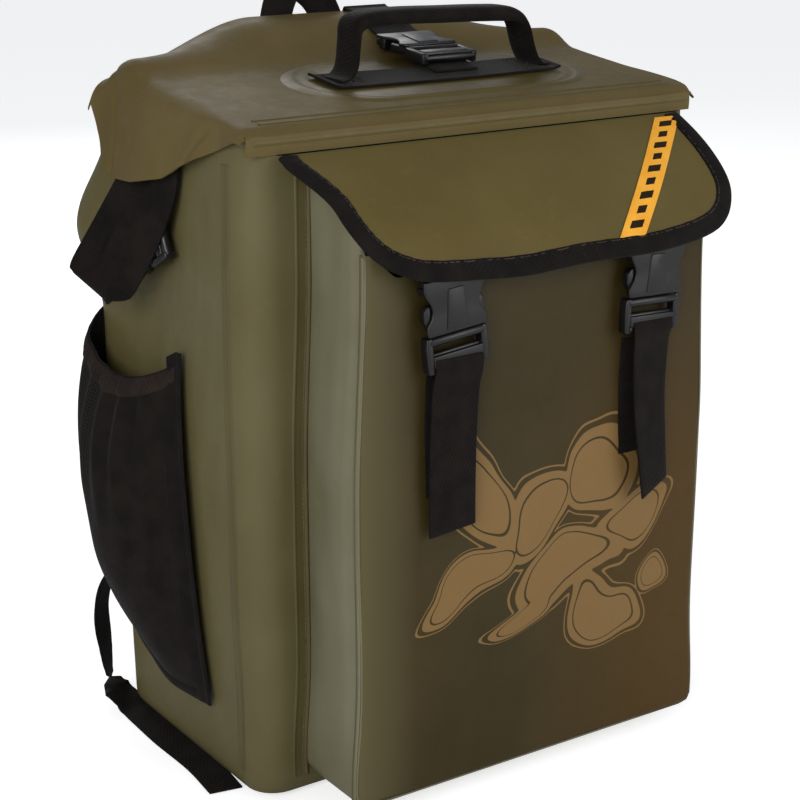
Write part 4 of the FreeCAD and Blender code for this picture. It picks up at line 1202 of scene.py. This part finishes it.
def top_webbing():
    """Tab of the clip on the top, and the strap from its socket over the roll."""
    clip = middle("top_clip") / MM
    tab = [(clip.x, clip.y - 32, on_top(clip.x, clip.y - 32).z / MM + 5),
           (clip.x, clip.y - 20, on_top(clip.x, clip.y - 20).z / MM + 6),
           (clip.x, clip.y - 8, clip.z - 2.5), (clip.x, clip.y - 2, clip.z + 3)]
    piece = ribbon("top_tab_webbing", tab, WIDE, 1.7, (0, -0.1, 1))
    finish(piece, WEBBING, "top_clip", "webbing", "top_tab")
    low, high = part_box("top_strap")
    cx = (low.x + high.x) / 2 / MM
    socket = middle("top_socket") / MM
    run = [(cx, socket.y + 15, socket.z + 4), (cx, socket.y + 27, socket.z + 7)]
    for place in (66, 76, 88, 98, 103):
        run.append((cx, place, on_top(cx, place).z / MM + 2.2))
    run.append((cx, 108, TOP_ROLL / MM - 8))
    piece = ribbon("top_strap_webbing", run, WIDE, 1.7, (0, 0.2, 1))
    finish(piece, WEBBING, "roll_top", "webbing", "top_strap")


def close_ends(piece):
    """Caps the two open ends of a swept piece."""
    activate(piece)
    bpy.ops.object.mode_set(mode="EDIT")
    bpy.ops.mesh.select_all(action="DESELECT")
    bpy.ops.mesh.select_non_manifold()
    bpy.ops.mesh.edge_face_add()
    bpy.ops.object.mode_set(mode="OBJECT")
    outward(piece)
    return smooth(piece, 50)


def haul_loop():
    """Grab loop of narrow webbing that twists as it arches over the back edge."""
    low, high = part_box("haul_loop")
    x = (low.x + high.x) / 2 / MM
    y = low.y / MM
    top = high.z / MM
    low_z = low.z / MM
    run = [(x - 22, y + 1.5, low_z - 14), (x - 22, y + 1.8, low_z + 8), (x - 21, y + 4, top - 18),
           (x - 10, y + 9, top + 4), (x + 6, y + 12, top + 8), (x + 19, y + 9, top - 2),
           (x + 26, y + 4, top - 20), (x + 28, y + 1.8, low_z + 8), (x + 28, y + 1.5, low_z - 14)]
    piece = ribbon("haul_loop_webbing", run, NARROW, 1.9, ((0, 1, 0), (0.75, 0.6, 0)))
    return finish(piece, WEBBING, "pack", "webbing", "haul_loop")


# ------------------------------------------------------------- side pockets

def side_x(y, z, hand, proud=0.0):
    """The side of the body at a place, in metres, signed."""
    over = min(max(abs(y) - BACK + CORNER, 0) / CORNER, 1)
    facing = math.sqrt(1 - over ** 2)
    return hand * (HALF - CORNER * (1 - facing) + side_bulge(y, z) * facing + proud)


def mesh_edge(y):
    """Upper edge of the side pocket: elastic that dips between its two ends."""
    t = min(max((y - MESH_LOW.y) / (MESH_HIGH.y - MESH_LOW.y), 0), 1)
    return MESH_HIGH.z + (8 - 26 * math.sin(math.pi * t) ** 0.8 + 16 * t ** 3) * MM


def pocket_base(u):
    """Height of the side pocket's lower edge, which climbs towards the back."""
    return MESH_LOW.z + (20 + 36 * ease(u, 0.2, 0.9)) * MM


def pocket_slant(v):
    """How far the pocket's front edge leans, from its foot to its mouth."""
    return (-17 + 23 * v) * MM


def mesh_point(hand, u, v, proud=0.0):
    """A point on the side pocket: u from its front edge to the back, v from bottom to top."""
    y = MESH_LOW.y + (MESH_HIGH.y - MESH_LOW.y) * u + pocket_slant(v) * (1 - u)
    base = pocket_base(u)
    z = base + (mesh_edge(y) - base) * v
    deep = MESH_HIGH.x - MESH_LOW.x
    around = max(math.sin(math.pi * (0.03 + 0.97 * u) ** 1.08), 0) ** 0.8
    up = (math.sin(math.pi * min(v * 0.86 + 0.03, 1)) ** 0.7)
    taper = ease(v, 0.4, 0.85) * (1 - 0.75 * ease(v, 0.90, 0.97))
    pleats = 2.4 * MM * taper * math.sin(u * 40 + 2 * math.sin(v * 3)) * around
    soft = 2.0 * MM * ripple(Vector((y, z * 0.7, 0)), 32, 9) * around
    out = (deep - 3 * MM) * around * up + pleats + soft + 2 * MM + proud
    if u > 0.97:
        out = max(out, 1.5 * MM)
    return Vector((side_x(y, z, hand, max(out, 1.2 * MM)), y, z))


def side_pocket(side, hand):
    """Elastic-topped pocket on one side: a plain cloth front and a mesh rear."""
    split = 0.52

    def front_rule(u, v):
        return mesh_point(hand, u * split, v)

    def rear_rule(u, v):
        return mesh_point(hand, split + u * (1 - split), v)

    front = sheet("pocket_cloth_" + side, 60, 90, front_rule, (90, 280))
    finish(thicken(front, 1.0), PACK_CLOTH, "pack", "mesh")
    rear = sheet("pocket_mesh_" + side, 60, 90, rear_rule, (90, 280))
    finish(thicken(rear, 1.0), MESH, "pack", "mesh", "mesh_pocket_" + side)

    def hem_rule(u, v):
        angle = u * 2 * math.pi
        rise = 8 * math.sin(angle) - 5
        point = mesh_point(hand, v, 0.985 + rise * 0.0036, 1.2 * MM)
        swell = 1.5 + 0.25 * math.sin(v * 150)
        return point + Vector((hand * swell * math.cos(angle) * MM, 0, 0))

    hem = sheet("pocket_elastic_%s_tape" % side, 14, 140, hem_rule, (24, 190), wrap=True)
    close_ends(hem)
    finish(hem, ELASTIC, "pack", "mesh", "pocket_elastic_" + side)

    def tape_rule(u, v):
        climb = min(v * 1.03, 1)
        inner = mesh_point(hand, max(u - 0.35, 0) * 0.09, climb)
        y = inner.y + (min(u, 0.35) - 0.35) * 16 * MM
        z = inner.z + (max(v * 1.03 - 1, 0) * 260 - (1 - min(v * 40, 1)) * 4) * MM
        lift = 1.6 if 0.02 < u < 0.98 else 0.4
        out = max(inner.x * hand, side_x(y, z, hand) * hand) + lift * MM
        return Vector((out * hand, y, z))

    tape = sheet("pocket_tape_" + side, 12, 120, tape_rule, (16, 300))
    finish(thicken(tape, 1.0, angle=50), BINDING, "pack", "mesh")

    def bottom_rule(u, v):
        angle = u * 2 * math.pi
        point = mesh_point(hand, v, 0.0, 0.5 * MM)
        return point + Vector((hand * 2.0 * math.cos(angle) * MM, 0,
                               5 * math.sin(angle) * MM))

    bottom = sheet("pocket_bottom_tape_" + side, 12, 100, bottom_rule, (20, 160), wrap=True)
    close_ends(bottom)
    finish(bottom, BINDING, "pack", "mesh")


# ------------------------------------------------------------ wearer's side

def simulate_padding(piece, voxel, cap, pressure=4):
    """Blows a closed shape up softly as cloth, and limits how far any point may move."""
    modify(piece, "REMESH", mode="VOXEL", voxel_size=voxel * MM)
    start = [vertex.co.copy() for vertex in piece.data.vertices]
    activate(piece)
    cloth = piece.modifiers.new("cloth", "CLOTH")
    cloth.settings.use_pressure = True
    cloth.settings.uniform_pressure_force = pressure
    cloth.settings.effector_weights.gravity = 0
    cloth.settings.quality = 4
    scene = bpy.context.scene
    for number in range(1, 21):
        scene.frame_set(number)
    moved = piece.evaluated_get(bpy.context.evaluated_depsgraph_get())
    shape = [vertex.co.copy() for vertex in moved.data.vertices]
    piece.modifiers.remove(cloth)
    scene.frame_set(1)
    for vertex, old, new in zip(piece.data.vertices, start, shape):
        step = new - old
        if step.length > cap * MM:
            step = step.normalized() * cap * MM
        vertex.co = old + step
    return modify(piece, "SUBSURF", levels=1, render_levels=1)


def pad_block(name, half_wide, low, high, near, thick):
    """A rounded slab to be padded out, on the back of the pack."""
    square = 0.35

    def rule(u, v):
        angle = u * 2 * math.pi
        mid = (low + high) / 2
        x = signed_power(math.cos(angle), square) * half_wide
        z = mid + signed_power(math.sin(angle), square) * (high - low) / 2
        share = (0.0, 0.6, 1.0, 1.0, 0.6, 0.0)[round(v * 5)]
        y = near + (0, 0, 1.5, thick - 1.5, thick, thick)[round(v * 5)]
        return Vector((x * share, y, mid + (z - mid) * share)) * MM

    piece = sheet(name, 48, 5, rule, (1, 1), wrap=True)
    outward(piece)
    return piece


def back_padding():
    """Two foam panels with a channel between them, and a lumbar panel below."""
    low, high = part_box("back_pad")
    y = low.y / MM + 0.6
    wide = high.x / MM
    bottom, top = low.z / MM, high.z / MM
    blocks = (("back_pad_left", -wide / 2 - 2, wide / 2 - 8, bottom + 96, top),
              ("back_pad_right", wide / 2 + 2, wide / 2 - 8, bottom + 96, top),
              ("back_pad_lumbar", 0, wide - 4, bottom, bottom + 88))
    for name, x, half, z1, z2 in blocks:
        piece = pad_block(name, half, z1, z2, y, 8.5)
        piece.data.transform(Matrix.Translation((x * MM, 0, 0)))
        simulate_padding(piece, 4, 6)
        smooth(piece, 60)
        for vertex in piece.data.vertices:
            vertex.co.y = max(vertex.co.y, BACK + 1.4 * MM)
        finish(piece, PAD_CLOTH, "pack", "padding", "back_pad")


def strap_path(hand):
    """Centre line of a shoulder strap, in millimetres."""
    low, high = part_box("shoulder_strap_left")
    near = low.y / MM + 7
    far = high.y / MM - 8
    top, bottom = high.z / MM - 12, low.z / MM + 5
    inner, outer = 70, 100
    return curve_points([Vector(point) for point in (
        (hand * inner, near, top - 4), (hand * inner, near + 12, top + 2),
        (hand * (inner + 1), near + 28, top - 8), (hand * (inner + 5), far - 8, top - 50),
        (hand * (inner + 12), far, top - 110), (hand * (inner + 22), far - 5, top - 190),
        (hand * (outer - 2), near + 32, top - 245), (hand * outer, near + 20, bottom))], 8)


def strap_frames(hand):
    """Points along a shoulder strap in millimetres, each with its way across and its way out."""
    path = strap_path(hand)
    frames = []
    for index, point in enumerate(path):
        tangent = tangent_at(path, index)
        out = tangent.cross(Vector((1, 0, 0))).normalized()
        if out.y < 0:
            out = -out
        across = tangent.cross(out).normalized()
        frames.append((point, -across if across.x < 0 else across, out))
    return frames


def shoulder_strap(side, hand):
    """Padded strap with taped edges and webbing sewn down its middle."""
    frames = strap_frames(hand)
    count = len(frames) - 1

    def width(share):
        return 32 - 9 * ease(share, 0.8, 1) - 3 * (1 - ease(share, 0, 0.1))

    def rule(u, v):
        point, across, out = frames[round(v * count)]
        angle = u * 2 * math.pi
        x = signed_power(math.cos(angle), 0.4) * (width(v) - 1)
        z = signed_power(math.sin(angle), 0.7) * 4.6
        return (point + across * x + out * z) * MM

    piece = sheet("shoulder_strap_%s_padding" % side, 40, count, rule, (130, 320), wrap=True)
    close_ends(piece)
    simulate_padding(piece, 4, 5)
    smooth(piece, 60)
    finish(piece, TRIM_CLOTH, "pack", "padding", "shoulder_strap_" + side)
    for edge, name in ((-1, "inner"), (1, "outer")):
        def edge_rule(u, v):
            point, across, out = frames[round(v * count)]
            angle = u * 2 * math.pi
            x = edge * (width(v) + 0.5) + 2.0 * math.cos(angle)
            z = 3.4 * math.sin(angle)
            return (point + across * x + out * z) * MM

        trim = sheet("strap_edge_%s_%s" % (name, side), 12, count, edge_rule, (20, 320),
                     wrap=True)
        close_ends(trim)
        finish(trim, BINDING, "pack", "padding")
    run = [point + out * 8.2 for point, across, out in frames[4::9]]
    web = ribbon("strap_webbing_" + side, run, NARROW, 1.6, (0, 1, 0.15), steps=5)
    finish(web, WEBBING, "pack", "webbing")
    for edge, name in ((-1, "inner"), (1, "outer")):
        line = [point + out * 9.3 + across * 10 * edge for point, across, out in frames[4::3]]

        def strap_seam(share):
            return along_corners(line, share) * MM

        stitches("strap_stitch_%s_%s" % (name, side), strap_seam, 260, "pack", "webbing",
                 THREAD_BLACK, (0, 1, 0.15))


def strap_adjuster(side, hand):
    """Ladder buckle at the foot of a shoulder strap, with the webbing that runs through it."""
    low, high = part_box("strap_adjuster_" + side)
    centre = (low + high) / 2
    at = Matrix.Translation((centre.x, centre.y, high.z))
    parts = []
    for rail in (-1, 1):
        outline = [(rail * 13, -22), (rail * 17.5, -21), (rail * 17.5, -1), (rail * 13, 0)]
        parts.append(outline_block("rail", outline, 4.6, at, 1.0))
    for level in (-1.8, -9.5, -20):
        parts.append(rod(30, 2.1, at, (0, 0, level), 0.9))
    buckle = join(parts, "strap_adjuster_%s_moulding" % side)
    finish(buckle, ACETAL, "strap_adjuster_" + side, "clip_plastic", "strap_adjuster_" + side)
    x, y, z = centre / MM
    low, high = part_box("lower_strap_" + side)
    anchor_x = hand * (abs(low.x) if hand < 0 else high.x) / MM - hand * 13
    run = [(x, y + 2.6, z + 2), (x, y + 1, z - 16), (x + hand * 14, y - 3, z - 50),
           (x + hand * 40, y - 14, 70),
           (anchor_x - hand * 6, BACK / MM + 6, 34), (anchor_x, BACK / MM + 2, 22)]
    web = ribbon("lower_webbing_" + side, run, NARROW, 1.6, (0, 1, 0.001))
    finish(web, WEBBING, "pack", "webbing", "lower_strap_" + side)
    loose = [(x, y - 1, z + 6), (x + hand, y - 3, z - 16), (x + hand * 4, y - 6, z - 50),
             (x + hand * 2, y - 8, z - 92)]
    web = ribbon("lower_webbing_end_" + side, loose, NARROW, 1.6, (0, 1, 0.001), cut_end=3)
    finish(web, WEBBING, "pack", "webbing")


def yoke():
    """Quilted tab across the back where the shoulder straps start."""
    low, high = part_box("shoulder_yoke")
    half = high.x / MM

    def rule(u, v):
        x = (u * 2 - 1) * half
        z = low.z / MM - 4 + (high.z - low.z) / MM * v + 6 * v
        swell = 3.2 * math.sin(math.pi * v) ** 0.6 * (1 - abs(u * 2 - 1) ** 10)
        return Vector((x, BACK / MM + 2 + swell, z)) * MM

    piece = sheet("shoulder_yoke_cloth", 60, 16, rule, (200, 28))
    return finish(thicken(piece, 1.4), PACK_CLOTH, "pack", "padding", "shoulder_yoke")


def floor_webbing(side, hand):
    """Loose narrow webbing beside the base: down from the rear corner, then along the floor."""
    x = hand * (HALF / MM + 13)
    back = BACK / MM
    run = [(hand * 158, back + 2, 128), (hand * 178, back + 4, 116),
           (hand * 197, back + 12, 100), (hand * 205, back + 12, 76), (hand * 206, back + 6, 46),
           (hand * 206, back - 4, 18), (x - hand * 7, 86, 4), (x - hand * 7, 64, 1.4),
           (x - hand * 6, 20, 1.2), (x - hand * 7, -30, 1.3), (x - hand * 3, -74, 1.2)]
    piece = ribbon("floor_webbing_" + side, run, NARROW, 1.7,
                   ((hand * 0.5, 0.8, 0.3), (0.001, 0, 1)), cut_end=2)
    for vertex in piece.data.vertices:
        vertex.co.z = max(vertex.co.z, 0.2 * MM)
    finish(piece, WEBBING, "pack", "webbing", "floor_tail_" + side)


# ------------------------------------------------------------------- studio

def looking(place, target):
    return (target - place).to_track_quat("-Z", "Y").to_euler()


def studio():
    """Pale floor, soft lamps and the camera."""
    material, tree, shader = new_material("studio_floor")
    surface(shader, Base_Color=(0.8, 0.8, 0.8, 1), Roughness=0.9, Specular_IOR_Level=0,
            Emission_Color=(1, 1, 1, 1))
    seen = node(tree, "LightPath").outputs["Is Camera Ray"]
    tree.links.new(ramp(tree, seen, 0, 1, 0.0, 0.62), shader.inputs["Emission Strength"])
    deselect()
    bpy.ops.mesh.primitive_plane_add(size=60, location=(0, 0, -0.3 * MM))
    floor = bpy.context.object
    floor.name = "studio_floor"
    floor.data.materials.append(material)
    floor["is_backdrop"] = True
    world = bpy.data.worlds.new("studio")
    bpy.context.scene.world = world
    world.use_nodes = True
    tree = world.node_tree
    back = tree.nodes["Background"]
    seen = node(tree, "LightPath").outputs["Is Camera Ray"]
    tree.links.new(mix(tree, seen, (0.62, 0.64, 0.68, 1), (1, 1, 1, 1)), back.inputs["Color"])
    tree.links.new(ramp(tree, seen, 0, 1, 0.48, 1.0), back.inputs["Strength"])
    lamps = (("key", (-2.1, -1.5, 1.2), 40, 1.4), ("fill", (1.3, -2.3, 1.1), 29, 1.6),
             ("rim", (0.6, 2.1, 1.5), 17, 1.5))
    for name, place, power, size in lamps:
        deselect()
        bpy.ops.object.light_add(type="AREA", location=place)
        lamp = bpy.context.object
        lamp.name = "lamp_" + name
        lamp.data.energy = power
        lamp.data.size = size
        lamp.rotation_euler = looking(Vector(place), Vector((0, 0, 0.25)))
    deselect()
    eye = Vector((-0.7799, -1.1580, 0.6773))
    target = Vector((-0.0002, 0, 0.2436))
    bpy.ops.object.camera_add(location=eye, rotation=looking(eye, target))
    camera = bpy.context.object
    camera.data.lens = 84.8
    camera.data.sensor_width = 36
    bpy.context.scene.camera = camera
    bpy.context.scene.view_settings.view_transform = "Standard"


def for_sides(*builders):
    for builder in builders:
        for side, hand in SIDES:
            builder(side, hand)


studio()
body_shell()
for side, hand in SIDES:
    body_seam("side_weld_" + side, side, (SEAM + 2, SEAM + 4), 9, (0.04, 0.955))
    gusset_flange("pocket_flange_" + side, hand)
    pocket_edge("pocket_lip_" + side, hand)
pocket_face()
pocket_gusset()
roll_top_cape()
top_weld("top_weld_rear", -97, 4)
top_weld("top_weld_front", -88, 3)
lip_weld("lip_weld", 475, 5)
oval_patch()
flap_cloth()
flap_binding()
label()
build_clips()
for_sides(front_webbing, ear_webbing)
handle()
top_webbing()
haul_loop()
for_sides(side_pocket)
back_padding()
yoke()
for side, hand in SIDES:
    shoulder_strap(side, hand)
    strap_adjuster(side, hand)
for_sides(floor_webbing)


def corners(box):
    return [list(corner) for corner in box]


{"cad": corners(CAD_BOX), "visual": corners(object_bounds())}
